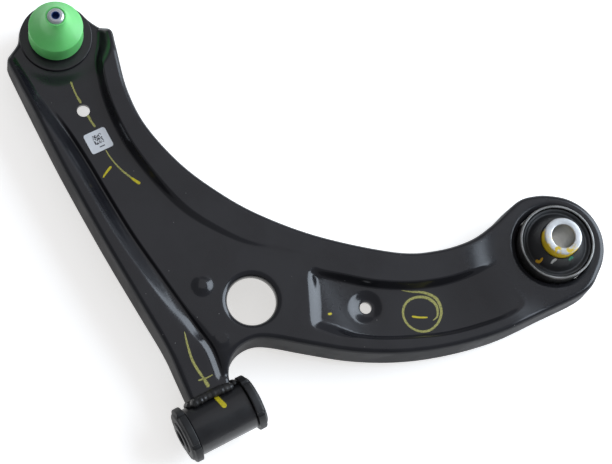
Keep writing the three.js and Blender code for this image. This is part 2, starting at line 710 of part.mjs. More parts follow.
function ballJointPieces() {
  addPiece('ball_joint_housing', turned([
    [seatRadius - 2, housingBottom],
    [housingRadius - 1.2, housingBottom],
    [housingRadius, housingBottom + 1.2],
    [housingRadius, flangeUnder],
    [housingFlangeRadius, flangeUnder],
    [housingFlangeRadius, flangeTop - 0.5],
    [housingFlangeRadius - 0.5, flangeTop],
    [housingNeckRadius, flangeTop],
    [housingNeckRadius, neckTopHeight],
    [housingMouthRadius, neckTopHeight],
    [housingMouthRadius, seatTop + gap],
    [seatRadius + gap, seatTop + gap],
    [seatRadius + gap, endPlateBottom - gap],
    [seatRadius - 2, endPlateBottom - gap],
  ], manySides), paint, ballJoint);
  const ringInner = housingRadius + gap;
  const ringTop = jointPlateTop - sheet - gap;
  addPiece('ball_joint_snap_ring', turned([
    [ringInner, ringTop - snapRingThickness], [ringInner + snapRingWidth, ringTop - snapRingThickness],
    [ringInner + snapRingWidth, ringTop], [ringInner, ringTop],
  ], manySides), steel, ballJoint);
  addPiece('ball_joint_end_plate', turned([
    [0, endPlateBottom], [seatRadius, endPlateBottom], [seatRadius, endPlateTop], [0, endPlateTop],
  ]), steel, ballJoint);

  const bowl = ballRadius + runningGap;
  const opening = THREE.MathUtils.radToDeg(Math.asin((seatTop - ballHeight) / bowl));
  const floor = THREE.MathUtils.radToDeg(Math.asin((seatBottom - ballHeight) / bowl));
  addPiece('ball_seat', turned([
    ...arcPoints([0, ballHeight], bowl, opening, floor, 8),
    [seatRadius, seatBottom],
    [seatRadius, seatTop],
  ]), polymer, ballJoint);

  const stemStart = THREE.MathUtils.radToDeg(Math.acos(stemRadius / ballRadius));
  const stud = turned([
    ...arcPoints([0, ballHeight], ballRadius, -90, stemStart, 9).map(([r, z], i) => [i === 0 ? 0 : r, z]),
    [stemRadius, flangeTop + 1],
    [taperLargeRadius, neckTopHeight + 1.2],
    [taperLargeRadius, neckTopHeight + 2.2],
    [taperSmallRadius, capShoulder + 3],
    [threadRadius, capShoulder + 4.5],
    [threadRadius, studTop - 1.2],
    [threadRadius - 1.2, studTop],
    [0, studTop],
  ]);
  const socket = new THREE.CylinderGeometry(socketRadius, socketRadius, 2 * socketDepth, 6);
  socket.rotateX(Math.PI / 2);
  socket.translate(0, 0, studTop);
  addPiece('ball_stud', toGeometry(toSolid(stud).subtract(toSolid(socket))), steel, ballJoint);

  const beadInner = housingNeckRadius + gap;
  const beadFoot = flangeTop + gap;
  const bootNeck = capShoulder - 0.5;
  const bootNeckInner = taperLargeRadius + 0.4;
  addPiece('dust_boot', turned([
    [beadInner, beadFoot],
    [beadInner + 1.7, beadFoot],
    [beadInner + 1.7, beadFoot + 3.6],
    [beadInner + 2.6, beadFoot + 6.5],
    [beadInner + 2.2, beadFoot + 10],
    [bootNeckInner + 2.2, bootNeck - 3],
    [bootNeckInner + 1.4, bootNeck],
    [bootNeckInner, bootNeck],
    [bootNeckInner, bootNeck - 4],
    [beadInner + 0.6, beadFoot + 9.4],
    [beadInner + 1, beadFoot + 6.5],
    [beadInner, beadFoot + 4.2],
  ]), rubber, ballJoint);
  const clampInner = beadInner + 1.7 + gap;
  addPiece('boot_clamp_ring', turned([
    [clampInner, beadFoot + 1], [clampInner + 0.9, beadFoot + 1], [clampInner + 0.9, beadFoot + 2.4],
    [clampInner, beadFoot + 2.4],
  ]), steel, ballJoint);
  const springInner = bootNeckInner + 1.8 + gap;
  addPiece('boot_upper_ring', turned([
    [springInner, bootNeck - 1.8], [springInner + 1, bootNeck - 1.8], [springInner + 1, bootNeck - 0.6],
    [springInner, bootNeck - 0.6],
  ]), steel, ballJoint);

  const capNeck = threadRadius + gap + capWall;
  const capProfile = [
    [capRadius - capWall, capSkirtBottom],
    [capRadius, capSkirtBottom],
    [capRadius, capShoulder],
    [capRadius - 3.6, capShoulder + 2.6],
    [capRadius - 8, capShoulder + 7.2],
    [capNeck + 1, capTop - 3.6],
    [capNeck, capTop],
    [capNeck - capWall, capTop],
    [capNeck - capWall, capTop - 5],
    [capRadius - 8 - capWall, capShoulder + 6.4],
    [capRadius - 3.6 - capWall, capShoulder + 1.6],
    [capRadius - capWall, capShoulder - 0.6],
  ];
  addPiece('stud_cap', turned(capProfile, manySides), greenPlastic, ballJoint);
}
ballJointPieces();

// ---- label --------------------------------------------------------------------------------------
function label() {
  const corner = 1.6;
  const w = labelWidth / 2;
  const l = labelLength / 2;
  const shape = new THREE.Shape();
  shape.absarc(w - corner, l - corner, corner, 0, Math.PI / 2);
  shape.absarc(corner - w, l - corner, corner, Math.PI / 2, Math.PI);
  shape.absarc(corner - w, corner - l, corner, Math.PI, Math.PI * 1.5);
  shape.absarc(w - corner, corner - l, corner, Math.PI * 1.5, Math.PI * 2);
  const geometry = new THREE.ExtrudeGeometry(shape, { depth: labelThickness, bevelEnabled: false, curveSegments: 3 });
  const before = topHeight(new THREE.Vector2(labelSpot.x, labelSpot.y - l));
  const after = topHeight(new THREE.Vector2(labelSpot.x, labelSpot.y + l));
  const sticker = addPiece('data_label', geometry, paper);
  sticker.rotation.x = Math.atan2(after - before, labelLength);
  sticker.position.set(labelSpot.x, labelSpot.y, (before + after) / 2 + gap + 0.2);
}
label();

// ---- stand the arm on Z = 0, centred in X and Y ---------------------------------------------------
const group = new THREE.Group();
group.add(arm);
const bounds = new THREE.Box3().setFromObject(arm, true);
const middle = bounds.getCenter(new THREE.Vector3());
arm.position.set(-middle.x, -middle.y, -bounds.min.z);

export default group;
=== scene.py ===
"""Front lower control arm of a small car: a glossy black pressed arm with a welded front bush, an
upright rear bush and a ball joint under a green transport cap. Shapes are worked out in
millimetres round the front bush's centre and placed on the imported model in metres."""
import math

import bpy
import numpy as np
from mathutils import Matrix, Vector
from mathutils.geometry import delaunay_2d_cdt


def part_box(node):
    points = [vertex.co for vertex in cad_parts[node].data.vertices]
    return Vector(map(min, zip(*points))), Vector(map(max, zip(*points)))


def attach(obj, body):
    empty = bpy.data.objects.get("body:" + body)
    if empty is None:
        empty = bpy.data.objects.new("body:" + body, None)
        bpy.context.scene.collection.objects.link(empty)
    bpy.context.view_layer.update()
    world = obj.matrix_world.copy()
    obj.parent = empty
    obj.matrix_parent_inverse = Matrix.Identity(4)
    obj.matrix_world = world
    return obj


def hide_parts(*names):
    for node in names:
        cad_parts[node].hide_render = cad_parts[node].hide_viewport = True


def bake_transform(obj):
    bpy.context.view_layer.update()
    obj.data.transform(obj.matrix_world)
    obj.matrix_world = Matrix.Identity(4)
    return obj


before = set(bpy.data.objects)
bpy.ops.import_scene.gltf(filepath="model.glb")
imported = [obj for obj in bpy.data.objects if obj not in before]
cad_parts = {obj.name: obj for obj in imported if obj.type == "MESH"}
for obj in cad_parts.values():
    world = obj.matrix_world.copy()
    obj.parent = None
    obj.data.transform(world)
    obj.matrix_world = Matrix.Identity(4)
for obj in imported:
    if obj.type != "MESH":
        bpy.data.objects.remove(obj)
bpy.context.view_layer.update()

MM = 0.001


def middle(node):
    """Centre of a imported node's box, in millimetres."""
    low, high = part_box(node)
    return np.array((low + high) / 2) / MM


FRONT = middle("front_inner_sleeve")
REAR_CENTRE = (middle("rear_inner_sleeve") - FRONT)[:2]
JOINT_CENTRE = (middle("stud_cap") - FRONT)[:2]

# ---- sizes of the pressed arm, in millimetres -----------------------------------------------------
SHEET = 3.0
BEND = 3.6
DRAFT = 1.3
RAIL_TOP = 16.0
PLATEAU_TOP = 15.4
JOINT_PLATE_TOP = 5.5
REAR_PLATE_TOP = 13.0
NECK_TOP = 10.5
FLANGE_BOTTOM = -12.0
SHALLOW_BOTTOM = -2.0
REAR_BOTTOM = 2.0
GROOVE_DEPTH = 2.6
POCKET_FLOOR = 7.5
POCKET_RAMP = 4.6                # how far the recess's floor climbs towards its left end
VALLEY_DEPTH = 1.9               # hollow between the left rail and the middle, at the neck
ARM_FLOOR = 7.0
NECK_END = 13.5                  # where the pressing meets the tube, along Y
TUBE_RADIUS = 17.0
NOSE_RADIUS = 26.5
REAR_LIP_RADIUS = 27.3
REAR_LIP_BEND = 5.0
REAR_END_RADIUS = 37.2
REAR_COLLAR_BOTTOM = -7.0
BIG_HOLE = (55.7, 60.8, 17.0, 4.5)    # x, y, radius, lip
BIG_HOLE_COLLAR = 3.0                 # straight wall below the lip
JOINT_HOLE = (14.8, 236.0, 4.5)       # x, y, radius
POCKET_HOLE = (126.0, 21.7, 4.2)
POCKET_HOLE_SINK = 2.6                # the hole lies in the middle of a shallow dish
DIMPLE = (29.6, 84.8)
DIMPLE_RISE = 1.9
FAINT_DIMPLE = (23.8, 45.7)
HOUSING_HOLE_RADIUS = 20.3

# ---- sizes of the fitted parts --------------------------------------------------------------------
TUBE_HALF = 21.5
BALL_RADIUS = 12.5
BALL_HEIGHT = -6.0
SOCKET_RADIUS = 2.9              # key socket in the stud's tip
SOCKET_FLAT = 2.51               # from its axis to a flat
SLEEVE_TOP = 36.0                # rear bolt sleeve
UPPER_WEB = (18, 27)             # heights between which the upper web gives way to the sleeve
# radii and heights down the upper web's cone
UPPER_CONE = ((13.8, 14.8, 15.6, 18.6, 21.4), (27.3, 27.0, 25.9, 21.6, 18.2))
LABEL_CENTRE = (14.2, 211.4)
LABEL_HALF = (8.25, 7.85)
LABEL_CORNER = 1.8
LABEL_FILM = 0.25
PAINT_SIDE = (-0.80, -0.60)      # plan direction of the paint on the rear sleeve

# ---- plain maths ----------------------------------------------------------------------------------


def smooth(value, low, high):
    """0 below low, 1 above high and a smooth cubic between them."""
    t = np.clip((value - low) / (high - low), 0, 1)
    return t * t * (3 - 2 * t)


def mix(a, b, t):
    """a where t is 0, b where t is 1."""
    return a + (b - a) * t


def away(points, centre):
    """Plan distance of each point from a centre."""
    return np.hypot(points[:, 0] - centre[0], points[:, 1] - centre[1])


def spline(corners, steps=24):
    """Curve through the corners: on each span a cubic whose end slopes are half the chord between
    the neighbouring corners; the end corners stand in for their missing neighbours."""
    p = np.asarray(corners, float)
    p = np.vstack([p[:1], p, p[-1:]])
    t = (np.arange(steps) / steps)[None, :, None]
    a, b, c, d = p[:-3, None], p[1:-2, None], p[2:-1, None], p[3:, None]
    curve = b + 0.5 * t * ((c - a) + t * (2 * a - 5 * b + 4 * c - d + t * (3 * b - a - 3 * c + d)))
    return np.vstack([curve.reshape(-1, p.shape[1]), p[-2:-1]])


def arc(centre, radius, start, end, steps):
    """Points of a circle's arc from start to end degrees."""
    angle = np.radians(np.linspace(start, end, steps + 1))
    return np.column_stack([centre[0] + radius * np.cos(angle), centre[1] + radius * np.sin(angle)])


def ring_of(centre, radius, count):
    """Evenly spaced points of a circle, counter-clockwise."""
    return arc(centre, radius, 0, 360, count)[:-1]


def resample(line, count, closed):
    """The same line with evenly spaced points."""
    path = np.vstack([line, line[:1]]) if closed else line
    run = np.concatenate([[0], np.cumsum(np.linalg.norm(np.diff(path, axis=0), axis=1))])
    at = np.linspace(0, run[-1], count + 1)[:-1] if closed else np.linspace(0, run[-1], count)
    return np.column_stack([np.interp(at, run, path[:, k]) for k in range(path.shape[1])])


def length_of(line, closed):
    """Length along a line of points."""
    path = np.vstack([line, line[:1]]) if closed else line
    return np.linalg.norm(np.diff(path, axis=0), axis=1).sum()


def rounded(line, spacing, passes):
    """Closed outline, counter-clockwise, its corners rounded by averaging each point with its
    neighbours a number of times, then spaced evenly."""
    x, y = line.T
    if np.sum(x * np.roll(y, -1) - y * np.roll(x, -1)) < 0:
        line = line[::-1]
    line = resample(line, round(length_of(line, True)), True)
    for _ in range(passes):
        line = (np.roll(line, 1, axis=0) + 2 * line + np.roll(line, -1, axis=0)) / 4
    return resample(line, round(length_of(line, True) / spacing), True)


def inset(ring, distance):
    """Closed counter-clockwise outline moved inwards along its own normals."""
    along = np.roll(ring, -1, axis=0) - np.roll(ring, 1, axis=0)
    along /= np.linalg.norm(along, axis=1)[:, None]
    return ring + np.column_stack([-along[:, 1], along[:, 0]]) * np.asarray(distance).reshape(-1, 1)


def nearest(points, line, closed):
    """Distance from each point to a line, and whether it lies on the line's right-hand side."""
    a = line
    b = np.roll(line, -1, axis=0)
    if not closed:
        a, b = a[:-1], b[:-1]
    step = b - a
    length2 = (step ** 2).sum(1)
    distance = np.empty(len(points))
    right = np.empty(len(points), bool)
    for start in range(0, len(points), 2000):
        part = slice(start, start + 2000)
        rel = points[part, None] - a[None]
        t = np.clip((rel * step).sum(2) / length2, 0, 1)
        off = rel - t[:, :, None] * step
        gap2 = (off ** 2).sum(2)
        best = gap2.argmin(1)
        rows = np.arange(len(best))
        distance[part] = np.sqrt(gap2[rows, best])
        chosen = off[rows, best]
        right[part] = step[best, 0] * chosen[:, 1] - step[best, 1] * chosen[:, 0] <= 0
    return distance, right


def inside(points, ring):
    """Whether each point lies in a closed outline: an odd count of edges crossed on its right."""
    result = np.empty(len(points), bool)
    a = ring
    b = np.roll(ring, 1, axis=0)
    rise = np.where(b[:, 1] == a[:, 1], 1e-12, b[:, 1] - a[:, 1])
    for start in range(0, len(points), 4000):
        x = points[start:start + 4000, 0, None]
        y = points[start:start + 4000, 1, None]
        spans = (a[:, 1] > y) != (b[:, 1] > y)
        crossing = a[:, 0] + (y - a[:, 1]) / rise * (b[:, 0] - a[:, 0])
        result[start:start + 4000] = (spans & (x < crossing)).sum(1) % 2 == 1
    return result


# ---- plan of the arm ------------------------------------------------------------------------------


def arm_outline():
    """Left edge, nose, concave edge, rear end, lower edge and the inside corner of the neck."""
    left = [(-14.5, 4), (-12.6, 36), (-11.6, 58), (-13.6, 94), (-16.2, 142), (-17.8, 200),
            (-17.6, 244), (-17, 288)]
    nose = arc(JOINT_CENTRE, NOSE_RADIUS, 162, 22, 14)
    shoulder = [nose[-1], (52, 291.5), (60, 281.5)]
    concave = [(60, 281.5), (54.5, 262), (48.4, 235), (47.9, 206), (56.5, 171), (70.6, 141),
               (89, 113), (119, 80.6), (162, 46.6), (189, 34.4), (216, 30.2), (242, 34.4)]
    crown = [(242, 34.4), arc(REAR_CENTRE, REAR_END_RADIUS + 3.4, 97, 97, 0)[0],
             arc(REAR_CENTRE, REAR_END_RADIUS + 1, 72, 72, 0)[0]]
    end = arc(REAR_CENTRE, REAR_END_RADIUS, 62, -58, 15)
    lower = [end[-1], (272, -40), (236, -39.6), (200, -38), (165, -31), (133, -20), (103, -4.2),
             (76, 15.2), (58.6, 28.6), (47, 35.4), (36, 36.4), (27, 33.4), (21, 27.6), (16.6, 18),
             (15.6, 4)]
    line = np.vstack([spline(left), [(-16.5, 294.5)], nose, spline(shoulder)[1:],
                      spline(concave)[1:], spline(crown)[1:], end, spline(lower)[1:]])
    line[:, 1] = np.where(line[:, 0] < 24, np.maximum(line[:, 1], NECK_END), line[:, 1])
    keep = np.linalg.norm(line - np.roll(line, 1, axis=0), axis=1) > 1e-6
    return line[keep]


def pocket_outline():
    """Recess of the short arm: upper wall, open end, lower wall and ramp."""
    upper = [(103, 60), (118, 48.6), (138, 33.4), (161, 20.6), (185, 12.4), (207, 9), (226, 8)]
    lower = [(226, -27), (207, -28.6), (173, -22.4), (149, -14), (122, -1.6), (102, 11.6), (87, 26)]
    return np.vstack([spline(upper), spline(lower)])


OUTLINE = rounded(arm_outline(), 1.15, 12)
POCKET = rounded(pocket_outline(), 1.0, 10)
# the foot of the left rail
GROOVE = spline([(-9.5, 294), (-8.4, 273), (-5.2, 249), (-1.6, 224), (0.4, 198), (1.4, 172),
                 (3.2, 139), (7, 106), (10.4, 80), (13.8, 58), (16, 42), (14, 24)])
# the step up to the right rail
STEP = spline([(50, 284), (43.4, 271), (37.4, 254), (33, 236), (31.2, 214), (32.2, 192),
               (37.4, 163), (45, 138), (57, 117), (72, 98), (90, 84)])


def top_height(points):
    """Height of the sheet's top over plan points: the floor of the long arm, lifted to the right
    rail across the step line, cut by the groove along the left rail, sunk into the pocket, and
    blended into the plates round the ball joint, the rear bush and the neck, each by a smooth
    cubic of the distance to its line or centre; then a bell-shaped valley along the groove at the
    neck, and a dome or a cone at each small round feature."""
    x, y = points.T
    floor = mix(PLATEAU_TOP, ARM_FLOOR, smooth(y, 80, 232))
    step_gap, step_right = nearest(points, STEP, False)
    right = np.where(step_right, -step_gap, step_gap)
    groove_gap, groove_right = nearest(points, GROOVE, False)
    left = np.where(groove_right, groove_gap, -groove_gap)
    crest = mix(NECK_TOP + 2.5, RAIL_TOP, smooth(y, 30, 110))
    groove = floor - GROOVE_DEPTH * smooth(y, 34, 60) * smooth(-y, -250, -215)
    height = mix(floor, RAIL_TOP, smooth(right, -2.6, 2.6) * smooth(y, 60, 100))
    rail = mix(np.minimum(groove, crest), crest, smooth(left, 0, 11))
    height = mix(height, rail, smooth(left, -2.2, 0))
    pocket_gap, _ = nearest(points, POCKET, True)
    in_pocket = np.where(inside(points, POCKET), pocket_gap, -pocket_gap)
    pocket = mix(POCKET_FLOOR, REAR_PLATE_TOP, smooth(x, 172, 226))
    pocket += POCKET_RAMP * smooth(-x, -136, -88) ** 1.5
    wall = mix(5.0, 2.4, smooth(x, 96, 112))
    height = mix(height, pocket, smooth(in_pocket / wall, -1, 1))
    for level, centre, flat, free in (
            (REAR_PLATE_TOP, REAR_CENTRE, REAR_END_RADIUS + 4, REAR_END_RADIUS + 32),
            (JOINT_PLATE_TOP, JOINT_CENTRE, NOSE_RADIUS + 1.5, NOSE_RADIUS + 15),
            (NECK_TOP, (0, 0), TUBE_RADIUS + 1, TUBE_RADIUS + 38)):
        height = mix(level, height, smooth(away(points, centre), flat, free))
    valley = np.exp(-((left - 0.5) / 3.0) ** 2) * smooth(y, 15, 24) * smooth(-y, -84, -50)
    height -= VALLEY_DEPTH * valley
    for centre, rise, foot, top in ((DIMPLE, DIMPLE_RISE, 9, 1.5), (FAINT_DIMPLE, 0.5, 6.5, 3.5),
                                    (POCKET_HOLE, -POCKET_HOLE_SINK, 13, 4.5)):
        height += rise * smooth(-away(points, centre), -foot, -top)
    return height


def flange_bottom(ring):
    """Height of the flange's lower edge: deep along the arms, shallow round both ends."""
    bottom = np.full(len(ring), FLANGE_BOTTOM)
    turn = math.radians(9.8)
    rel = ring - (JOINT_CENTRE[0], JOINT_CENTRE[1] - 7.5)
    bottom[rel[:, 1] * math.cos(turn) + rel[:, 0] * math.sin(turn) > 0] = SHALLOW_BOTTOM
    bottom[ring[:, 0] > REAR_CENTRE[0] + 15.5] = REAR_BOTTOM
    return bottom


# ---- mesh helpers ---------------------------------------------------------------------------------


class Skin:
    """Points and faces of one mesh, gathered in millimetres."""

    def __init__(self):
        self.points = []
        self.faces = []
        self.count = 0

    def add(self, points):
        """Adds points and returns their numbers."""
        self.points.append(np.asarray(points, float))
        first = self.count
        self.count += len(points)
        return np.arange(first, self.count)

    def band(self, lower, upper, closed=True):
        """Quads between two rows of equal count, facing right of the walk along the lower row."""
        a, b = lower, np.roll(lower, -1)
        c, d = np.roll(upper, -1), upper
        quads = np.column_stack([a, b, c, d])
        self.faces.append(quads if closed else quads[:-1])

    def bands(self, rows, closed=True):
        """Bands between each row and the next."""
        for lower, upper in zip(rows, rows[1:]):
            self.band(lower, upper, closed)

    def fan(self, tip, row):
        """Triangles from a closed row to one point, facing the side the row turns round."""
        pole = np.repeat(self.add([tip]), len(row))
        self.faces.append(np.column_stack([row, np.roll(row, -1), pole]))

    def make(self, name, material, sharp=35):
        """Mesh object in the row's frame, in metres."""
        points = (np.vstack(self.points) + FRONT) * MM
        faces = [face for block in self.faces for face in block.tolist()]
        mesh = bpy.data.meshes.new(name)
        mesh.from_pydata(points.tolist(), [], faces)
        mesh.validate()
        mesh.shade_smooth()
        mesh.set_sharp_from_angle(angle=math.radians(sharp))
        mesh.materials.append(material)
        piece = bpy.data.objects.new(name, mesh)
        bpy.context.scene.collection.objects.link(piece)
        return piece


def lift(ring, height):
    """Plan points with a height."""
    return np.column_stack([ring, np.broadcast_to(height, len(ring))])


def rounded_profile(corners, steps=5):
    """Profile whose corners are (across, along, rounding): each corner is replaced by a curve that
    leaves and meets its two sides at the rounding distance: a quadratic that the corner pulls."""
    path = []
    count = len(corners)
    for i, (x, y, cut) in enumerate(corners):
        here = np.array([x, y], float)
        if cut == 0:
            path.append(here)
            continue
        before = np.array(corners[i - 1][:2], float)
        after = np.array(corners[(i + 1) % count][:2], float)
        enter = here + (before - here) / np.linalg.norm(before - here) * cut
        leave = here + (after - here) / np.linalg.norm(after - here) * cut
        t = np.linspace(0, 1, steps + 1)[:, None]
        path.extend((1 - t) ** 2 * enter + 2 * t * (1 - t) * here + t ** 2 * leave)
    return np.array(path)


def turned(name, profile, centre, material, axis="Z", segments=96, swell=None, sharp=35):
    """Body of revolution: the closed profile of (radius, height), counter-clockwise, is carried
    round the axis; swell changes each radius by angle and height."""
    angle = np.linspace(0, 2 * math.pi, segments, endpoint=False)
    radius = np.repeat(profile[:, :1], segments, axis=1)
    height = np.repeat(profile[:, 1:], segments, axis=1)
    if swell is not None:
        radius = radius + swell(radius, height, angle[None, :])
    across, over = radius * np.cos(angle), radius * np.sin(angle)
    if axis == "Z":
        grid = np.stack([across + centre[0], over + centre[1], height + centre[2]], axis=2)
    else:
        grid = np.stack([height + centre[0], across + centre[1], over + centre[2]], axis=2)
    skin = Skin()
    if profile[0, 0] > 1e-6:
        rows = [skin.add(row) for row in grid]
        skin.bands([*rows, rows[0]])
    else:
        rows = [skin.add(row) for row in grid[1:-1]]
        skin.bands(rows)
        skin.fan(grid[0, 0], rows[0][::-1])
        skin.fan(grid[-1, 0], rows[-1])
    return skin.make(name, material, sharp)


def place(piece, body, node):
    """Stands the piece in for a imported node."""
    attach(piece, body)
    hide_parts(node)


# ---- the pressed arm ------------------------------------------------------------------------------


def holes():
    """Openings of the sheet: centre, radius, lip radius and the height where the lip's wall ends."""
    x, y, radius, lip = BIG_HOLE
    return [
        {"at": (x, y), "radius": radius, "lip": lip, "count": 120,
         "bottom": PLATEAU_TOP - lip - BIG_HOLE_COLLAR},
        {"at": REAR_CENTRE, "radius": REAR_LIP_RADIUS, "lip": REAR_LIP_BEND,
         "bottom": REAR_COLLAR_BOTTOM, "count": 160},
        {"at": JOINT_CENTRE, "radius": HOUSING_HOLE_RADIUS, "lip": 0, "count": 110},
        {"at": JOINT_HOLE[:2], "radius": JOINT_HOLE[2], "lip": 0, "count": 36},
        {"at": POCKET_HOLE[:2], "radius": POCKET_HOLE[2], "lip": 0, "count": 36},
    ]


def rows_along(line, offsets, spacing, closed=False):
    """Rows of points beside a line, each at its own distance to the line's right."""
    line = resample(line, round(length_of(line, closed) / spacing), closed)
    along = np.roll(line, -1, axis=0) - np.roll(line, 1, axis=0)
    if not closed:
        along[0], along[-1] = line[1] - line[0], line[-1] - line[-2]
    along /= np.linalg.norm(along, axis=1)[:, None]
    side = np.column_stack([along[:, 1], -along[:, 0]])
    return np.vstack([line + offset * side for offset in offsets])


def sheet_points(rim, rings):
    """Plan points of the open sheet: rows along each feature, circles round the round ones, and
    an even triangular lattice between them."""
    rows = [
        rows_along(GROOVE, np.arange(-3, 1.3, 0.42), 1.3),
        rows_along(STEP, np.arange(-3.4, 3.5, 0.5), 1.3),
        rows_along(POCKET, np.arange(-3, 3.1, 0.5), 1.3, closed=True),
        *[ring_of(DIMPLE, radius, round(radius * 5)) for radius in np.arange(3.9, 9, 0.7)],
        *[ring_of(POCKET_HOLE, radius, round(radius * 5)) for radius in np.arange(5, 13, 0.7)],
    ]
    features = np.vstack(rows)
    pitch = 1.35
    low, high = rim.min(0), rim.max(0)
    x, y = np.meshgrid(np.arange(low[0], high[0], pitch), np.arange(low[1], high[1], pitch * 0.866))
    x[1::2] += pitch / 2
    lattice = np.column_stack([x.ravel(), y.ravel()])
    lattice = lattice[inside(lattice, rim)]
    apart = [nearest(lattice, GROOVE, False)[0] > 3.4, nearest(lattice, STEP, False)[0] > 3.8,
             nearest(lattice, POCKET, True)[0] > 3.4,
             np.abs(away(lattice, DIMPLE) - 6.4) > 3.1,
             np.abs(away(lattice, POCKET_HOLE) - 8.8) > 4.4]
    lattice = lattice[np.logical_and.reduce(apart)]
    points = np.vstack([features, lattice])
    points = points[inside(points, rim)]
    for ring in [rim, *rings]:
        points = points[nearest(points, ring, True)[0] > 0.75]
    for hole in holes():
        points = points[away(points, hole["at"]) > hole["radius"] + hole["lip"]]
    cells = np.round(points / 0.3).astype(int)
    _, first = np.unique(cells, axis=0, return_index=True)
    return points[np.sort(first)]


def triangulate(points, borders):
    """Constrained Delaunay triangles over the points, with the border rings kept as edges; gives
    the points, with any that crossing edges add, and the triangles."""
    edges = []
    start = 0
    for ring in borders:
        numbers = np.arange(start, start + len(ring))
        edges.extend(zip(numbers.tolist(), np.roll(numbers, -1).tolist()))
        start += len(ring)
    corners = [Vector(point) for point in points.tolist()]
    found = delaunay_2d_cdt(corners, edges, [], 0, 1e-6)
    plan = np.array([tuple(corner) for corner in found[0]])
    return plan, np.array(found[2])


def sheet_plan(openings):
    """Plan points and triangles of the open sheet, its rim first and then the ring of each
    opening, with the count of rim points."""
    rim = inset(OUTLINE, BEND)
    rings = [ring_of(hole["at"], hole["radius"] + hole["lip"], hole["count"]) for hole in openings]
    borders = [rim, *rings]
    plan, faces = triangulate(np.vstack([*borders, sheet_points(rim, rings)]), borders)
    centre = plan[faces].mean(1)
    keep = inside(centre, rim)
    for hole in openings:
        keep &= away(centre, hole["at"]) > hole["radius"] + hole["lip"] * 0.999 - 0.02
    return plan, faces[keep], len(rim)


def flange_rows(skin, edge):
    """Rows of the flange from its foot up: the outer wall, which leans out by the draft as it goes
    down, the inner wall one sheet thickness in, and a quarter circle over the bend."""
    bottom = flange_bottom(OUTLINE)
    wall_top = edge - BEND
    lean = DRAFT / (RAIL_TOP - BEND - FLANGE_BOTTOM)
    outer = []
    inner = []
    for share, round_off in ((1.0, 0.5), (0.985, 0.12), (0.93, 0), (0.75, 0), (0.5, 0), (0.25, 0),
                             (0, 0)):
        level = mix(wall_top, bottom, share)
        out = lean * (wall_top - level)
        outer.append(skin.add(lift(inset(OUTLINE, round_off - out), level)))
        inner.append(skin.add(lift(inset(OUTLINE, SHEET - out), level)))
    bends = []
    for turn in np.radians(range(12, 90, 13)):
        ring = inset(OUTLINE, BEND * (1 - math.cos(turn)))
        bends.append(skin.add(lift(ring, edge - BEND * (1 - math.sin(turn)))))
    return outer, inner, bends


def opening_wall(skin, hole, upper, lower, level):
    """Wall of an opening between the sheet's upper and lower edge rows: plain, or a quarter circle
    of the lip's radius, a straight collar and the collar's back."""
    wall = [upper]
    if hole["lip"]:
        for turn in np.radians(range(10, 91, 10)):
            across = hole["radius"] + hole["lip"] * (1 - math.sin(turn))
            ring = ring_of(hole["at"], across, hole["count"])[::-1]
            wall.append(skin.add(lift(ring, level - hole["lip"] * (1 - math.cos(turn)))))
        mouth = ring_of(hole["at"], hole["radius"], hole["count"])[::-1]
        back = ring_of(hole["at"], hole["radius"] + SHEET, hole["count"])[::-1]
        for ring, height in ((mouth, hole["bottom"]), (back, hole["bottom"]),
                             (back, level - hole["lip"])):
            wall.append(skin.add(lift(ring, height)))
    skin.bands([*wall, lower][::-1])


def mark_gloss(mesh, count, walls, bends):
    """Point attribute that says where the coat is glossy: 1 on the sheet, 0 on the flange's walls,
    and rising evenly over the rows of the bend."""
    gloss = np.ones(count, np.float32)
    gloss[np.concatenate(walls)] = 0
    for step, row in enumerate(bends):
        gloss[row] = (step + 1) / (len(bends) + 1)
    mesh.attributes.new("gloss", "FLOAT", "POINT").data.foreach_set("value", gloss)


def arm_skin(material):
    """The sheet as one closed skin: outer flange rows, a quarter-circle bend, the open sheet, and
    the same surface again one sheet thickness inside."""
    skin = Skin()
    openings = holes()
    plan, faces, count = sheet_plan(openings)
    height = top_height(plan)
    top = skin.add(lift(plan, height))
    under = skin.add(lift(plan, height - SHEET))
    skin.faces.append(top[faces])
    skin.faces.append(under[faces[:, ::-1]])
    outer, inner, bends = flange_rows(skin, height[:count])
    skin.bands([*outer, *bends, top[:count]])
    skin.bands([under[:count], *inner[::-1]])
    skin.band(inner[0], outer[0])
    start = count
    for hole in openings:
        span = np.arange(start, start + hole["count"])[::-1]
        start += hole["count"]
        opening_wall(skin, hole, top[span], under[span], height[span])
    arm = skin.make("pressed_arm", material)
    mark_gloss(arm.data, skin.count, [*outer, *inner], bends)
    place(arm, "arm", "arm_pressing")


# ---- paint pen strokes and the label --------------------------------------------------------------


def on_tube(points):
    """Height of the tube's upper surface over plan points, and of the sheet beyond it, with the
    weld's hump where they meet."""
    tube = np.sqrt(np.maximum(TUBE_RADIUS ** 2 - points[:, 1] ** 2, 0))
    weld = 3.2 * smooth(-np.abs(points[:, 1] - 16.2), -4, 0)
    return np.maximum(tube, np.where(points[:, 1] > NECK_END, top_height(points) + weld, 0))


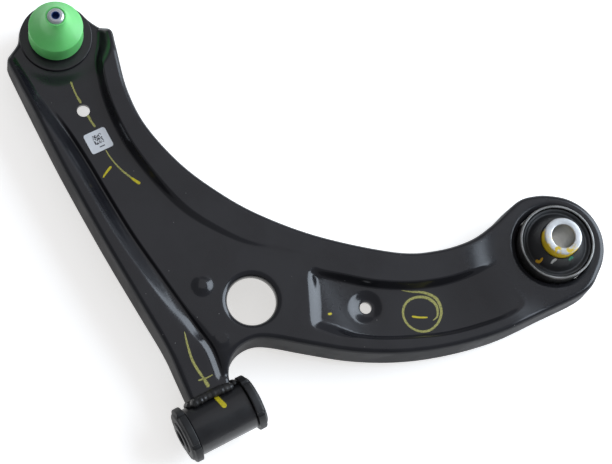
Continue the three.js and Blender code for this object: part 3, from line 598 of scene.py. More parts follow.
def stroke(name, corners, widths, material, surface=top_height, raised=0.14):
    """Ribbon over the surface: a curve through plan corners, carried sideways by half its width,
    which runs evenly through the given widths. Its map runs along and across the ribbon."""
    line = spline(corners, 16)
    line = resample(line, max(8, round(length_of(line, False) / 0.5)), False)
    count = len(line)
    along = np.gradient(line, axis=0)
    along /= np.linalg.norm(along, axis=1)[:, None]
    side = np.column_stack([along[:, 1], -along[:, 0]])
    t = np.linspace(0, 1, count)
    width = np.interp(t, np.linspace(0, 1, len(widths)), widths)
    ends = np.sqrt(np.clip(1 - (np.abs(2 * t - 1) ** 12), 0.02, 1))
    across = np.linspace(-0.5, 0.5, 7)
    grid = line[:, None] + side[:, None] * (across[None, :, None] * (width * ends)[:, None, None])
    flat = grid.reshape(-1, 2)
    skin = Skin()
    numbers = skin.add(lift(flat, surface(flat) + raised)).reshape(count, len(across))
    skin.bands([numbers[:, k] for k in range(len(across))][::-1], closed=False)
    piece = skin.make(name, material)
    reach = t * length_of(line, False) / 10
    uv = np.stack(np.broadcast_arrays(reach[:, None], across[None] + 0.5), axis=2).reshape(-1, 2)
    add_map(piece.data, uv)
    return piece


def arm_stroke(*shape):
    """Stroke that stays on the arm."""
    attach(stroke(*shape), "arm")


def add_map(mesh, point_uv):
    """Gives the mesh a UV map from one pair of values for each point."""
    layer = mesh.uv_layers.new(name="UVMap")
    corner = np.empty(len(mesh.loops), np.int32)
    mesh.loops.foreach_get("vertex_index", corner)
    layer.data.foreach_set("uv", point_uv[corner].astype(np.float32).ravel())


def paint_marks(yellow, pale):
    """Inspection strokes drawn by hand along the arm."""
    arm_stroke("stroke_joint_far", [(16.6, 259.6), (15.7, 252.7), (15.5, 247), (15.8, 241.6)],
               [2.2, 1.4, 1.6, 2.6], pale)
    arm_stroke("stroke_joint_near", [(16.0, 231.9), (16.1, 226.8), (16.8, 221.4)],
               [2.8, 1.8, 2.2], pale)
    arm_stroke("stroke_arm_thin", [(15.6, 203), (16.2, 195), (18.6, 185), (22.2, 176.4)],
               [1.2, 1.3, 1.5, 2.1], pale)
    arm_stroke("stroke_arm_end", [(21.8, 177.2), (23.4, 173.8), (25.6, 169.8)],
               [1.5, 2.6, 2.9], yellow)
    arm_stroke("stroke_arm_tick", [(13.6, 190.4), (9.4, 188.2), (4.6, 185.3)],
               [2.4, 2.0, 1.2], yellow)
    arm_stroke("stroke_neck_thin", [(4.2, 62), (1.8, 52.5), (0.2, 43.5), (0.4, 35), (1.4, 28.4)],
               [1.0, 1.7, 2.1, 2.4, 2.6], pale)
    arm_stroke("stroke_neck_near", [(1.2, 29), (1.6, 25), (1.9, 21)], [2.4, 3.0, 3.2], pale, on_tube)
    arm_stroke("stroke_neck_tick", [(-2.6, 28.3), (2.7, 27.3), (8.2, 27.3)], [1.6, 1.4, 0.8], pale)
    arm_stroke("stroke_tube", [(1.9, 18.2), (2.7, 14), (3.4, 9), (4.6, 2.8)],
               [3.2, 3.8, 4.2, 4.6], yellow, on_tube, 0.3)
    arm_stroke("stroke_pocket_dot", [(98.6, 29.0), (100, 28.4), (101.6, 28.2)],
               [1.6, 2.4, 1.6], yellow)
    loop = [(154.0, 21.2), (160, 17), (168, 12.2), (173.5, 4.6), (172.3, -4.4), (166.5, -10.5),
            (158, -12.8), (150.6, -9.6), (146.2, -2.2), (147, 6), (152.6, 11.6), (160.4, 12.2),
            (168, 8), (171, 0.6), (168.2, -6.2), (163.6, -7.8)]
    arm_stroke("stroke_loop", loop,
               [1.0, 1.7, 2.4, 2.9, 2.5, 2.2, 2.2, 2.0, 2.0, 2.1, 2.2, 2.4, 2.9, 2.4, 1.8], pale)
    arm_stroke("stroke_loop_dash", [(151.6, 1.5), (156.1, -1.6), (161.4, -4.2)],
               [1.9, 1.7, 1.4], yellow)


def label(material):
    """Sticker with rounded corners: rows of one rounded rectangle, shrunk towards its middle, over
    the sheet, and a thin edge down to it."""
    centre = np.array(LABEL_CENTRE)
    half = np.array(LABEL_HALF)
    signs = np.array([(1, 1), (-1, 1), (-1, -1), (1, -1)])
    quarter = [arc(sign * (half - LABEL_CORNER), LABEL_CORNER, 90 * k, 90 * k + 90, 8)
               for k, sign in enumerate(signs)]
    edge = resample(np.vstack(quarter), 120, True)
    skin = Skin()
    local = [edge, *[edge * share for share in np.linspace(1, 0.05, 20)]]
    thick = [0.02, *[LABEL_FILM] * 20]
    rows = [skin.add(lift(row + centre, top_height(row + centre) + up))
            for row, up in zip(local, thick)]
    skin.bands(rows)
    skin.fan((*centre, top_height(centre[None])[0] + LABEL_FILM), rows[-1])
    sticker = skin.make("label_sticker", material)
    uv = np.vstack([*local, [(0, 0)]]) / (2 * half) + 0.5
    add_map(sticker.data, uv)
    place(sticker, "arm", "data_label")


# ---- front bush -----------------------------------------------------------------------------------


def flange_notches(radius, height, angle):
    """Change of radius that cuts four shallow notches in the rubber flange's rim and makes its
    edge slightly uneven."""
    rim = smooth(radius, 17.5, 19)
    cut = sum(smooth(-np.abs(np.angle(np.exp(1j * (angle - notch)))), -0.09, -0.05)
              for notch in np.radians([52, 128, 232, 308]))
    flats = 0.35 * np.cos(8 * angle)
    return -rim * (1.5 * cut + 0.25 - 0.25 * flats)


def front_bush(coat, rubber, steel):
    """Tube, rubber flanges with moulded notches, and the bolt sleeve, all about X."""
    at = (0, 0, 0)
    tube = rounded_profile([
        (14.8, -TUBE_HALF, 0.4), (TUBE_RADIUS, -TUBE_HALF, 1.1), (TUBE_RADIUS, TUBE_HALF, 1.1),
        (14.8, TUBE_HALF, 0.4)])
    place(turned("bush_tube", tube, at, coat, "X"), "arm", "front_bush_tube")
    half = [(20, 21.8, 0.7), (19.9, 26.6, 0.8), (17.6, 27.4, 0.6), (16.6, 28.6, 0.6),
            (10.9, 28.6, 0.5)]
    mirrored = [(across, -along, cut) for across, along, cut in half[::-1]]
    flanged = rounded_profile([*mirrored, (12.8, -21.7, 0.3), (12.8, 21.7, 0.3), *half])
    flanges = turned("bush_rubber", flanged, at, rubber, "X", 192, flange_notches)
    place(flanges, "arm", "front_bush_rubber")
    sleeve = rounded_profile([
        (6.2, -29.8, 0.6), (10.5, -29.8, 0.7), (10.5, 29.8, 0.7), (6.2, 29.8, 0.6)])
    # the sleeve's finish is darkened steel, painted shade for the shade its end lies in
    place(turned("bush_sleeve", sleeve, at, steel, "X"), "front_pivot", "front_inner_sleeve")


def bead(name, path, radius, widening, node, material, seed):
    """Weld bead: a circle carried along the path and widened sideways, its radius rippling with
    each pool of the weld and shrinking to a point at both ends."""
    rng = np.random.default_rng(seed)
    line = resample(spline(path, 16), 160, False)
    along = np.gradient(line, axis=0)
    along /= np.linalg.norm(along, axis=1)[:, None]
    up = line * (0, 1, 1)
    up /= np.linalg.norm(up, axis=1)[:, None]
    side = np.cross(along, up)
    run = np.linspace(0, length_of(line, False), len(line))
    pool = np.abs(np.sin(run * 1.0 + np.cumsum(rng.normal(0, 0.09, len(line)))))
    wander = np.convolve(rng.normal(0, 1, len(line)), np.hanning(17) / 8, "same")
    ends = np.sqrt(np.clip(np.minimum(run, run[::-1]) / radius, 0.003, 1))
    size = radius * ends * (0.92 + 0.06 * pool + 0.13 * wander)
    angle = np.linspace(0, 2 * math.pi, 24, endpoint=False)
    offset = (np.cos(angle)[None, :, None] * side[:, None] * widening
              + np.sin(angle)[None, :, None] * up[:, None])
    grid = line[:, None] + offset * size[:, None, None]
    skin = Skin()
    rows = [skin.add(row) for row in grid]
    skin.bands(rows[::-1])
    skin.fan(line[0], rows[0])
    skin.fan(line[-1], rows[-1][::-1])
    place(skin.make(name, material, 80), "arm", node)


def welds(material):
    """Bead along the saddle and one down each side of the neck."""
    bead("weld_saddle", [(-15.5, 15.6, 9.6), (-9, 16.0, 11), (0, 16.2, 11.2), (10, 15.6, 11.2),
                         (17.5, 14.6, 11)], 3.0, 1.35, "front_weld_top", material, 3)
    turn = np.radians([36, 24, 8, -8, -24])
    radius = TUBE_RADIUS + 1
    for name, edge, seed in (("left", -15.6, 5), ("right", 18.6, 8)):
        path = np.column_stack([np.full(5, edge), radius * np.cos(turn), radius * np.sin(turn)])
        bead(f"weld_{name}", path, 2.1, 1.1, f"front_weld_{name}", material, seed)


# ---- rear bush ------------------------------------------------------------------------------------


def on_web(piece, start, end):
    """Bakes the piece's placement into its mesh; the heights start and end are not used."""
    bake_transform(piece)


def rear_bush(steel, rubber, zinc):
    """Shell with a rounded rim, the rubber's two webs and the tall bolt sleeve."""
    at = (*REAR_CENTRE, 0)
    shell = rounded_profile([
        (25.2, -9, 0.5), (27, -9, 0.6), (27, 21.0, 0.8), (25.2, 21.0, 0.6)])
    place(turned("rear_shell", shell, at, steel, segments=160), "arm", "rear_bush_shell")
    upper = rounded_profile([
        (13.75, 2, 0), (24.9, 2, 0), (24.9, 19.4, 0.8), (23.4, 19.4, 0.8), (21.4, 17.6, 1.6),
        (18.6, 21.4, 3), (15.4, 25.8, 1.8), (14.6, 27.2, 0.5), (13.75, 27.2, 0.2)], 8)
    lower = rounded_profile([
        (13.75, -14, 0.4), (17, -12.4, 2), (20.5, -6.8, 1.4), (23.5, -7.6, 0.8), (24.9, -7.6, 0.8),
        (24.9, 1.6, 0), (13.75, 1.6, 0)], 8)
    for name, profile, start, end in (("rear_rubber_upper", upper, *UPPER_WEB),
                                      ("rear_rubber_lower", lower, -6, -14)):
        web = turned(name, profile, at, rubber, segments=160)
        on_web(web, start, end)
        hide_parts("rear_bush_rubber")
    sleeve = rounded_profile([
        (8.25, -23, 0.7), (13.35, -23, 0.9), (13.35, SLEEVE_TOP, 0.9), (8.25, SLEEVE_TOP, 0.9)])
    place(turned("rear_sleeve", sleeve, at, zinc, segments=160), "rear_pivot", "rear_inner_sleeve")


def on_cone(points):
    """Height of the rear rubber's upper cone over plan points."""
    return np.interp(away(points, REAR_CENTRE), *UPPER_CONE)


def rear_marks(finish):
    """Three short dabs of paint on the rear rubber's upper cone."""
    for colour, corners in (
            ("orange", [(247.6, -4.2), (249.0, -6.6), (251.4, -5.4)]),
            ("white", [(254.6, -11.8), (256.6, -11.0), (258.6, -11.4)]),
            ("green", [(266.2, -15.6), (268.4, -14.9), (270.4, -15.6)])):
        dab = stroke(f"dab_{colour}", corners, [1.8, 2.4, 1.8], finish[colour], on_cone, 0.25)
        on_web(dab, *UPPER_WEB)


# ---- ball joint -----------------------------------------------------------------------------------


def joint_housing(coat):
    """Housing with its flange on the plate, open below, and the neck that carries the boot."""
    housing = rounded_profile([
        (13.1, -22.0, 0.3), (18.8, -22.0, 0.8), (20, -20.6, 0.8), (20, 5.8, 0.4), (25.5, 5.8, 0.3),
        (25.5, 7.4, 0.7), (14.2, 7.4, 0.6), (14.2, 12.0, 0.7), (11.8, 12.0, 0.6), (11.8, 2.3, 0),
        (15.4, 2.3, 0), (15.4, -21.0, 0), (13.1, -21.0, 0)])
    place(turned("joint_housing", housing, (*JOINT_CENTRE, 0), coat), "arm", "ball_joint_housing")


def socket_flats(radius, height, angle):
    """Change of radius that turns the key socket's round wall into six flats."""
    flat = SOCKET_FLAT / np.cos((angle + math.pi / 6) % (math.pi / 3) - math.pi / 6)
    wall = (np.abs(radius - SOCKET_RADIUS) < 0.01) & (height > 38)
    return np.where(wall, flat - radius, 0)


def joint_stud(steel):
    """Ball, taper, thread and tip of the stud, with the key socket in the tip."""
    ball = [(x, y, 0) for x, y in arc((0, BALL_HEIGHT), BALL_RADIUS, -90, 56.5, 28)]
    ball[0] = (0, BALL_HEIGHT - BALL_RADIUS, 0)
    threads = []
    for height in np.arange(31.4, 44.2, 1.5):
        threads += [(5.9, height, 0), (5.9, height + 0.4, 0), (5.3, height + 0.75, 0),
                    (5.3, height + 1.1, 0)]
    stud = rounded_profile([
        *ball, (6.9, 8.4, 0), (8.4, 13.2, 0.4), (8.4, 14.2, 0.4), (7.1, 29.5, 0.4),
        (5.5, 31.0, 0.3), *threads, (5.9, 44.8, 0.2), (4.7, 46, 0.3), (SOCKET_RADIUS, 46, 0),
        (SOCKET_RADIUS, 45.7, 0), (SOCKET_RADIUS, 40.2, 0), (SOCKET_RADIUS, 40, 0), (0, 40, 0)], 3)
    place(turned("joint_stud", stud, (*JOINT_CENTRE, 0), steel, segments=120, swell=socket_flats),
          "stud", "ball_stud")


def joint_boot(rubber):
    """Folded boot from the housing's neck up to the stud's taper."""
    boot = rounded_profile([
        (14.5, 7.7, 0.3), (16.2, 7.7, 0.5), (16.2, 8.6, 0.3), (16.0, 10.2, 0.3), (15.9, 11.4, 0.4),
        (15.2, 13.6, 0.8), (15.6, 17.2, 1.2), (14.5, 19.0, 0.6), (15.2, 20.6, 0.8),
        (13.4, 22.6, 1), (11.2, 23.6, 0.6), (10.2, 25.9, 0.4), (8.8, 26.0, 0.3), (8.8, 22.2, 0.6),
        (13.0, 20.8, 1), (13.2, 19.2, 0.5), (14.4, 16.9, 0.8), (14.1, 14.4, 0.8), (14.5, 12.4, 0.4)])
    bellows = turned("joint_boot", boot, (*JOINT_CENTRE, 0), rubber)
    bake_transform(bellows)
    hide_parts("dust_boot")


def transport_cap(plastic):
    """Thin bell over the joint, open at the skirt and round the stud's tip."""
    cap = rounded_profile([
        (17.9, 11.2, 0.3), (18.5, 11.0, 0.2), (19.3, 11.1, 0.25), (19.3, 12.2, 0.35),
        (19.0, 12.8, 0.3), (19.0, 26.3, 0.5), (15.6, 29.2, 1.4), (10.6, 34.4, 2.2), (8.1, 39.6, 1.8),
        (7.3, 44.8, 0.5), (6.2, 44.8, 0.3), (6.2, 39.8, 0.8), (9.4, 33.6, 2), (14.5, 28.1, 1.2),
        (17.9, 25.6, 0.4)], 8)
    bell = turned("transport_cap", cap, (*JOINT_CENTRE, 0), plastic, segments=160, sharp=50)
    place(bell, "cap", "stud_cap")


# ---- shared surface effects -----------------------------------------------------------------------


def new_group(name, inputs, outputs):
    """Empty shader node group with float inputs (name, value) and outputs (name, socket type)."""
    group = bpy.data.node_groups.new(name, "ShaderNodeTree")
    for label_text, value in inputs:
        socket = group.interface.new_socket(label_text, in_out="INPUT",
                                            socket_type="NodeSocketFloat")
        socket.default_value = value
    for label_text, kind in outputs:
        group.interface.new_socket(label_text, in_out="OUTPUT", socket_type=kind)
    return group, group.nodes.new("NodeGroupInput"), group.nodes.new("NodeGroupOutput")


def math_node(nodes, links, operation, first, second):
    """Math node of two values or sockets; returns its output."""
    node = nodes.new("ShaderNodeMath")
    node.operation = operation
    for socket, value in zip(node.inputs, (first, second)):
        if isinstance(value, (int, float)):
            socket.default_value = value
        else:
            links.new(value, socket)
    return node.outputs[0]


def product(nodes, links, *factors):
    """Product of several sockets or numbers."""
    result = factors[0]
    for factor in factors[1:]:
        result = math_node(nodes, links, "MULTIPLY", result, factor)
    return result


def within(nodes, links, value, low, high):
    """1 where a value lies between two numbers."""
    above = math_node(nodes, links, "GREATER_THAN", value, low)
    below = math_node(nodes, links, "LESS_THAN", value, high)
    return product(nodes, links, above, below)


def split_node(nodes, links, vector):
    """X, Y and Z of a vector socket."""
    node = nodes.new("ShaderNodeSeparateXYZ")
    links.new(vector, node.inputs[0])
    return [node.outputs[axis] for axis in "XYZ"]


def plan_from(nodes, links, x, y, centre):
    """East and north of a plan place, from X and Y of the object's coordinates."""
    east = math_node(nodes, links, "SUBTRACT", x, float(centre[0] + FRONT[0]) * MM)
    north = math_node(nodes, links, "SUBTRACT", y, float(centre[1] + FRONT[1]) * MM)
    return east, north


def noise_node(nodes, links, vector, scale, detail, roughness=0.5):
    """Noise texture's value at a scale that may be a number or a socket."""
    node = nodes.new("ShaderNodeTexNoise")
    node.inputs["Detail"].default_value = detail
    node.inputs["Roughness"].default_value = roughness
    links.new(vector, node.inputs["Vector"])
    if isinstance(scale, (int, float)):
        node.inputs["Scale"].default_value = scale
    else:
        links.new(scale, node.inputs["Scale"])
    return node.outputs["Fac"]


def range_node(nodes, links, value, low, high, to_low, to_high):
    """Maps a value smoothly from one range to another."""
    node = nodes.new("ShaderNodeMapRange")
    node.interpolation_type = "SMOOTHSTEP"
    for name, number in (("From Min", low), ("From Max", high), ("To Min", to_low),
                         ("To Max", to_high)):
        node.inputs[name].default_value = number
    links.new(value, node.inputs["Value"])
    return node.outputs["Result"]


def grain_group():
    """Fine skin of a moulded, painted or plated surface: a height from two noises and a wide,
    uneven patch mask."""
    group, into, out = new_group(
        "surface_grain", [("Fine Scale", 1500), ("Patch Scale", 30)],
        [("Height", "NodeSocketFloat"), ("Patch", "NodeSocketFloat")])
    nodes, links = group.nodes, group.links
    spot = nodes.new("ShaderNodeTexCoord").outputs["Object"]
    fine = noise_node(nodes, links, spot, into.outputs["Fine Scale"], 3)
    coarse = product(nodes, links, into.outputs["Fine Scale"], 0.31)
    broad = noise_node(nodes, links, spot, coarse, 2)
    height = math_node(nodes, links, "ADD", fine, broad)
    links.new(height, out.inputs["Height"])
    patch = noise_node(nodes, links, spot, into.outputs["Patch Scale"], 4, 0.6)
    links.new(range_node(nodes, links, patch, 0.35, 0.65, 0, 1), out.inputs["Patch"])
    return group


def turned_group():
    """Fine rings of a turned surface: a one-dimensional noise of the distance from an upright axis
    plus the height."""
    group, into, out = new_group("turned_rings", [("Centre X", 0), ("Centre Y", 0), ("Pitch", 2500)],
                                 [("Rings", "NodeSocketFloat")])
    nodes, links = group.nodes, group.links
    x, y, z = split_node(nodes, links, nodes.new("ShaderNodeTexCoord").outputs["Object"])
    east = math_node(nodes, links, "SUBTRACT", x, into.outputs["Centre X"])
    north = math_node(nodes, links, "SUBTRACT", y, into.outputs["Centre Y"])
    squares = math_node(nodes, links, "ADD", product(nodes, links, east, east),
                        product(nodes, links, north, north))
    radius = math_node(nodes, links, "SQRT", squares, 0)
    run = math_node(nodes, links, "ADD", radius, z)
    noise = nodes.new("ShaderNodeTexNoise")
    noise.noise_dimensions = "1D"
    noise.inputs["Scale"].default_value = 1
    noise.inputs["Detail"].default_value = 3
    links.new(product(nodes, links, run, into.outputs["Pitch"]), noise.inputs["W"])
    links.new(noise.outputs["Fac"], out.inputs["Rings"])
    return group


def dust_group():
    """Sparse specks: the middles of those cells of a fine Voronoi pattern whose own random value
    is below the amount."""
    group, into, out = new_group("dust_specks", [("Scale", 500), ("Amount", 0.1)],
                                 [("Mask", "NodeSocketFloat")])
    nodes, links = group.nodes, group.links
    cells = nodes.new("ShaderNodeTexVoronoi")
    links.new(nodes.new("ShaderNodeTexCoord").outputs["Object"], cells.inputs["Vector"])
    links.new(into.outputs["Scale"], cells.inputs["Scale"])
    near = range_node(nodes, links, cells.outputs["Distance"], 0.05, 0.22, 1, 0)
    split = nodes.new("ShaderNodeSeparateColor")
    links.new(cells.outputs["Color"], split.inputs[0])
    chosen = math_node(nodes, links, "LESS_THAN", split.outputs[0], into.outputs["Amount"])
    links.new(product(nodes, links, near, chosen), out.inputs["Mask"])
    return group


GRAIN = grain_group()
TURNED = turned_group()
DUST = dust_group()


class Finish:
    """One material with a Principled surface, and short ways to feed it."""

    def __init__(self, name, color, rough, metallic=0.0, **plain):
        self.material = bpy.data.materials.new(name)
        self.material.use_nodes = True
        self.nodes = self.material.node_tree.nodes
        self.links = self.material.node_tree.links
        self.shader = self.nodes["Principled BSDF"]
        self.shader.inputs["Base Color"].default_value = (*color, 1)
        self.shader.inputs["Roughness"].default_value = rough
        self.shader.inputs["Metallic"].default_value = metallic
        for key, value in plain.items():
            self.shader.inputs[key.replace("_", " ")].default_value = value
        self.material.diffuse_color = (*color, 1)

    def group(self, group, **values):
        """Places a shared effect with its own values."""
        node = self.nodes.new("ShaderNodeGroup")
        node.node_tree = group
        for key, value in values.items():
            node.inputs[key.replace("_", " ")].default_value = value
        return node

    def blend(self, mask, first, second):
        """Colour between two, by a mask; each is a colour or a socket."""
        node = self.nodes.new("ShaderNodeMix")
        node.data_type = "RGBA"
        self.links.new(mask, node.inputs["Factor"])
        for socket, value in ((node.inputs[6], first), (node.inputs[7], second)):
            if isinstance(value, tuple):
                socket.default_value = (*value, 1)
            else:
                self.links.new(value, socket)
        return node.outputs[2]

    def shade(self, value, low, high, to_low, to_high):
        """Smoothly mapped value."""
        return range_node(self.nodes, self.links, value, low, high, to_low, to_high)

    def feed(self, socket, value):
        """Links a value or colour to the shader."""
        self.links.new(value, self.shader.inputs[socket])

    def paint_over(self, mask, color):
        """Covers the bare metal with paint where the mask is 1."""
        bare = self.shader.inputs["Base Color"].links[0].from_socket
        self.feed("Base Color", self.blend(mask, bare, color))
        self.feed("Metallic", self.shade(mask, 0, 1, 1, 0))

    def bump(self, height, depth):
        """Surface relief from a height, its depth in metres."""
        node = self.nodes.new("ShaderNodeBump")
        node.inputs["Distance"].default_value = depth
        self.links.new(height, node.inputs["Height"])
        self.feed("Normal", node.outputs["Normal"])


def textured(name, color, second, rough, rough_swing, fine, patch, relief, metallic=0.0,
             dust=0.0, **plain):
    """Finish whose colour and roughness wander with the patch mask and whose grain is a relief."""
    finish = Finish(name, color, rough, metallic, **plain)
    grain = finish.group(GRAIN, Fine_Scale=fine, Patch_Scale=patch)
    tone = finish.blend(grain.outputs["Patch"], color, second)
    if dust:
        specks = finish.group(DUST, Scale=420, Amount=dust)
        faint = finish.shade(specks.outputs["Mask"], 0, 1, 0, 0.5)
        tone = finish.blend(faint, tone, (0.30, 0.29, 0.27))
    finish.feed("Base Color", tone)
    finish.feed("Roughness", finish.shade(grain.outputs["Patch"], 0, 1, rough, rough + rough_swing))
    finish.bump(grain.outputs["Height"], relief)
    return finish


def turned_metal(name, color, second, rough, relief, axis):
    """Metal with the fine rings of turning about an upright axis at a plan place, and stains."""
    finish = Finish(name, color, rough, 1.0)
    x, y = (np.array(axis) + FRONT[:2]) * MM
    rings = finish.group(TURNED, Centre_X=x, Centre_Y=y, Pitch=2600)
    grain = finish.group(GRAIN, Fine_Scale=900, Patch_Scale=70)
    finish.feed("Base Color", finish.blend(grain.outputs["Patch"], color, second))
    sheen = finish.shade(rings.outputs["Rings"], 0.3, 0.7, rough - 0.06, rough + 0.1)
    finish.feed("Roughness", sheen)
    finish.bump(rings.outputs["Rings"], relief)
    return finish


def pen(name, color, second, cover):
    """Paint pen ink: streaks along the stroke, thinner towards its edges, on the ribbon's map."""
    finish = Finish(name, color, 0.45, Specular_IOR_Level=0.4)
    nodes, links = finish.nodes, finish.links
    along, across, _ = split_node(nodes, links, nodes.new("ShaderNodeUVMap").outputs["UV"])
    squeeze = nodes.new("ShaderNodeCombineXYZ")
    links.new(product(nodes, links, along, 3), squeeze.inputs["X"])
    links.new(product(nodes, links, across, 4), squeeze.inputs["Y"])
    streaks = noise_node(nodes, links, squeeze.outputs[0], 2.2, 4, 0.6)
    from_middle = math_node(nodes, links, "SUBTRACT", across, 0.5)
    edge = math_node(nodes, links, "ABSOLUTE", from_middle, 0)
    fill = finish.shade(edge, 0.28, 0.5, 1, 0)
    body = finish.shade(streaks, 0.30, 0.62, cover, 1)
    finish.feed("Alpha", product(nodes, links, fill, body))
    finish.feed("Base Color", finish.blend(streaks, color, second))
    finish.bump(streaks, 0.0001)
    return finish.material


def printed_label():
    """White film with a square of random black modules and one short bar, neither of them text."""
    white = (0.80, 0.81, 0.82)
    finish = Finish("label_film", white, 0.38, Coat_Weight=0.2)
    nodes, links = finish.nodes, finish.links
    across, up, _ = split_node(nodes, links, nodes.new("ShaderNodeUVMap").outputs["UV"])
    snapped = nodes.new("ShaderNodeCombineXYZ")
    for axis, value in (("X", across), ("Y", up)):
        cell = product(nodes, links, value, 30)
        links.new(math_node(nodes, links, "FLOOR", cell, 0), snapped.inputs[axis])
    random = nodes.new("ShaderNodeTexWhiteNoise")
    random.noise_dimensions = "2D"
    links.new(snapped.outputs[0], random.inputs["Vector"])
    module = math_node(nodes, links, "GREATER_THAN", random.outputs["Value"], 0.46)
    code = product(nodes, links, within(nodes, links, across, 0.30, 0.72),
                   within(nodes, links, up, 0.34, 0.80), module)
    bar = product(nodes, links, within(nodes, links, across, 0.42, 0.66),
                  within(nodes, links, up, 0.17, 0.22))
    ink = math_node(nodes, links, "MAXIMUM", code, bar)
    grain = finish.group(GRAIN, Fine_Scale=1200, Patch_Scale=120)
    film = finish.blend(grain.outputs["Patch"], white, (0.76, 0.77, 0.79))
    finish.feed("Base Color", finish.blend(ink, film, (0.05, 0.05, 0.06)))
    finish.bump(grain.outputs["Height"], 0.00002)
    return finish.material


def marked_zinc():
    """Zinc of the rear sleeve with ragged yellow paint: a band on its wall, on one side between
    the web and the top face, and one brush line out over the edge there."""
    finish = turned_metal("zinc_marked", (0.60, 0.61, 0.61), (0.48, 0.49, 0.49), 0.36, 0.00002,
                          REAR_CENTRE)
    nodes, links = finish.nodes, finish.links
    spot = nodes.new("ShaderNodeTexCoord").outputs["Object"]
    x, y, z = split_node(nodes, links, spot)
    east, north = plan_from(nodes, links, x, y, REAR_CENTRE)
    side_x, side_y = PAINT_SIDE
    facing = math_node(nodes, links, "ADD", product(nodes, links, east, side_x),
                       product(nodes, links, north, side_y))
    across = math_node(nodes, links, "ADD", product(nodes, links, east, -side_y),
                       product(nodes, links, north, side_x))
    wobble = math_node(nodes, links, "SUBTRACT", noise_node(nodes, links, spot, 260, 3), 0.5)
    spread = product(nodes, links, wobble, 0.006)
    ragged = math_node(nodes, links, "ADD", facing, spread)
    side = finish.shade(ragged, 0.0006, 0.0014, 0, 1)
    level = math_node(nodes, links, "ADD", z, spread)
    top = (SLEEVE_TOP + FRONT[2]) * MM
    under_top = finish.shade(level, top - 1.0 * MM, top + 0.2 * MM, 1, 0)
    over_web = finish.shade(level, top - 10.5 * MM, top - 9.5 * MM, 0, 1)
    band = product(nodes, links, side, under_top, over_web)
    ragged_line = math_node(nodes, links, "ADD", across, spread)
    near = math_node(nodes, links, "ABSOLUTE", ragged_line, 0)
    line = finish.shade(near, 0.0008, 0.0014, 1, 0)
    outside = finish.shade(facing, 0.0070, 0.0085, 0, 1)
    brush = product(nodes, links, line, outside, over_web)
    finish.paint_over(math_node(nodes, links, "MAXIMUM", band, brush), (0.72, 0.50, 0.02))
    return finish.material


def stud_steel():
    """Turned steel of the stud, with dark blue paint in its key socket."""
    finish = turned_metal("stud_steel", (0.62, 0.64, 0.66), (0.50, 0.52, 0.55), 0.32, 0.00002,
                          JOINT_CENTRE)
    nodes, links = finish.nodes, finish.links
    x, y, z = split_node(nodes, links, nodes.new("ShaderNodeTexCoord").outputs["Object"])
    east, north = plan_from(nodes, links, x, y, JOINT_CENTRE)
    squares = math_node(nodes, links, "ADD", product(nodes, links, east, east),
                        product(nodes, links, north, north))
    near = math_node(nodes, links, "LESS_THAN", squares, (3.0 * MM) ** 2)
    high = math_node(nodes, links, "GREATER_THAN", z, float(39 + FRONT[2]) * MM)
    finish.paint_over(product(nodes, links, near, high), (0.02, 0.07, 0.26))
    return finish.material


def dull_flanges(finish):
    """Thins the gloss of the coat where the arm's own gloss attribute falls, on the flanges."""
    gloss = finish.nodes.new("ShaderNodeAttribute")
    gloss.attribute_name = "gloss"
    finish.feed("Coat Weight", finish.shade(gloss.outputs["Fac"], 0, 1, 0.0, 0.95))
    rougher = finish.shade(gloss.outputs["Fac"], 0, 1, 0.22, 0)
    rough = finish.shader.inputs["Roughness"].links[0].from_socket
    finish.feed("Roughness", math_node(finish.nodes, finish.links, "ADD", rough, rougher))


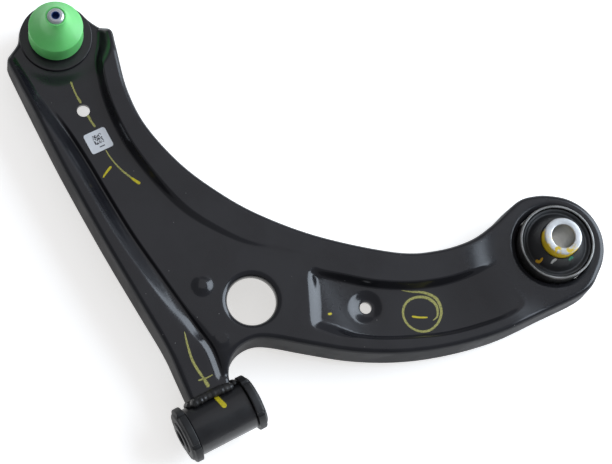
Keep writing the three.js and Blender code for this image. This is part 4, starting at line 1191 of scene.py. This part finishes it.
def materials():
    """Every finish of the arm."""
    coat = textured("black_coat", (0.0085, 0.0086, 0.0108), (0.013, 0.013, 0.0155), 0.26, 0.10,
                    1100, 22, 0.00003, dust=0.012, Coat_Roughness=0.16,
                    Specular_IOR_Level=0.12)
    dull_flanges(coat)
    tube = textured("tube_coat", (0.008, 0.008, 0.009), (0.012, 0.012, 0.013), 0.30, 0.10,
                    1300, 40, 0.00004, dust=0.01, Coat_Weight=0.3, Coat_Roughness=0.12)
    weld = textured("weld_coat", (0.012, 0.012, 0.0125), (0.022, 0.020, 0.018), 0.34, 0.16,
                    700, 240, 0.00022, Coat_Weight=0.2, Coat_Roughness=0.2)
    rubber = textured("bush_rubber", (0.011, 0.0112, 0.012), (0.018, 0.018, 0.018), 0.46, 0.16,
                      1900, 60, 0.00006, dust=0.02)
    boot = textured("boot_rubber", (0.014, 0.014, 0.0145), (0.02, 0.02, 0.02), 0.5, 0.14,
                    1900, 80, 0.00005)
    polymer = textured("seat_polymer", (0.74, 0.71, 0.62), (0.70, 0.66, 0.57), 0.42, 0.1,
                       1500, 90, 0.00003)
    plastic = textured("cap_plastic", (0.15, 0.66, 0.17), (0.18, 0.71, 0.20), 0.36, 0.10,
                       900, 45, 0.00003, Subsurface_Weight=0.35, Subsurface_Scale=0.006,
                       Coat_Weight=0.08, Coat_Roughness=0.2)
    plastic.shader.inputs["Subsurface Radius"].default_value = (0.35, 1.0, 0.4)
    rim = turned_metal("shell_steel", (0.26, 0.255, 0.245), (0.16, 0.158, 0.15), 0.40, 0.00003,
                       REAR_CENTRE)
    joint_steel = turned_metal("joint_steel", (0.50, 0.50, 0.51), (0.42, 0.42, 0.42), 0.30, 0.00002,
                               JOINT_CENTRE)
    # painted shade: the front bolt sleeve's steel gets this dark colour to stand in for the shade
    # its end lies in
    shade_darkened_steel = textured("shade_darkened_steel", (0.05, 0.05, 0.052), (0.10, 0.10, 0.10), 0.42, 0.16, 1500,
                          120, 0.00003, metallic=0.8)
    return {
        "coat": coat.material, "tube": tube.material, "weld": weld.material,
        "rubber": rubber.material, "boot": boot.material, "polymer": polymer.material,
        "plastic": plastic.material, "rim": rim.material, "joint_steel": joint_steel.material,
        "shade_darkened_steel": shade_darkened_steel.material, "zinc_marked": marked_zinc(), "stud_steel": stud_steel(),
        "label": printed_label(),
        "yellow": pen("pen_yellow", (0.62, 0.50, 0.015), (0.74, 0.62, 0.03), 0.75),
        "pale": pen("pen_pale", (0.34, 0.34, 0.10), (0.60, 0.55, 0.16), 0.35),
        "white": pen("pen_white", (0.60, 0.60, 0.56), (0.70, 0.70, 0.66), 0.6),
        "orange": pen("pen_orange", (0.72, 0.36, 0.01), (0.78, 0.45, 0.02), 0.7),
        "green": pen("pen_green", (0.01, 0.16, 0.09), (0.02, 0.22, 0.12), 0.5),
    }


# ---- studio ---------------------------------------------------------------------------------------


def camera():
    """Camera high above the arm, looking down, with the ball joint up on the left and the rear
    bush on the right."""
    place_mm = np.array([-179.206, -128.752, 1140.875]) + FRONT
    right = Vector((0.87112, -0.47215, 0.135)).normalized()
    up = Vector((0.42485, 0.86248, 0.275)).normalized()
    back = right.cross(up)
    up = back.cross(right)
    made = bpy.data.cameras.new("studio_camera")
    made.lens = 100
    made.sensor_width = 36
    made.clip_start = 0.05
    made.clip_end = 20
    rig = bpy.data.objects.new("studio_camera", made)
    bpy.context.scene.collection.objects.link(rig)
    facing = Matrix((right, up, back)).transposed().to_4x4()
    rig.matrix_world = Matrix.Translation(place_mm * MM) @ facing
    bpy.context.scene.camera = rig


def lamp(name, toward, distance, size, power, color):
    """Soft rectangular light in a direction from the arm, facing it."""
    made = bpy.data.lights.new(name, "AREA")
    made.shape = "RECTANGLE"
    made.size, made.size_y = size
    made.energy = power
    made.color = color
    rig = bpy.data.objects.new(name, made)
    direction = Vector(toward).normalized()
    rig.location = direction * distance
    rig.rotation_mode = "QUATERNION"
    rig.rotation_quaternion = direction.to_track_quat("Z", "Y")
    bpy.context.scene.collection.objects.link(rig)


def studio():
    """Pale table, a window light from low on the right and a dim light overhead."""
    half = 3.0
    surface = bpy.data.meshes.new("table")
    surface.from_pydata([(-half, -half, 0), (half, -half, 0), (half, half, 0), (-half, half, 0)],
                        [], [(0, 1, 2, 3)])
    table = bpy.data.objects.new("table", surface)
    bpy.context.scene.collection.objects.link(table)
    finish = Finish("table_white", (0.88, 0.88, 0.87), 0.9, Emission_Color=(1.0, 0.985, 0.96, 1),
                    Emission_Strength=0.62, Specular_IOR_Level=0.1)
    surface.materials.append(finish.material)
    lamp("window", (0.90, -0.20, 0.52), 2.4, (2.1, 2.5), 82, (0.78, 0.88, 1.0))
    lamp("overhead", (0.25, 0.35, 1.0), 2.2, (1.7, 2.4), 4.4, (0.98, 0.97, 1.0))
    world = bpy.data.worlds.new("studio_room")
    bpy.context.scene.world = world
    world.use_nodes = True
    world.node_tree.nodes["Background"].inputs["Color"].default_value = (0.24, 0.245, 0.265, 1)
    world.node_tree.nodes["Background"].inputs["Strength"].default_value = 1.0
    bpy.context.scene.view_settings.view_transform = "Standard"


def packed_parts(finish):
    """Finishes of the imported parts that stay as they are."""
    kept = {"front_bush_shell": "rim", "ball_joint_snap_ring": "joint_steel",
            "ball_joint_end_plate": "joint_steel", "ball_seat": "polymer",
            "boot_clamp_ring": "joint_steel", "boot_upper_ring": "joint_steel"}
    for node, look in kept.items():
        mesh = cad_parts[node].data
        mesh.materials.clear()
        mesh.materials.append(finish[look])


def main():
    """Builds the whole object and its setting."""
    camera()
    finish = materials()
    arm_skin(finish["coat"])
    front_bush(finish["tube"], finish["rubber"], finish["shade_darkened_steel"])
    welds(finish["weld"])
    rear_bush(finish["rim"], finish["rubber"], finish["zinc_marked"])
    joint_housing(finish["tube"])
    joint_stud(finish["stud_steel"])
    joint_boot(finish["boot"])
    transport_cap(finish["plastic"])
    paint_marks(finish["yellow"], finish["pale"])
    rear_marks(finish)
    label(finish["label"])
    packed_parts(finish)
    studio()


main()
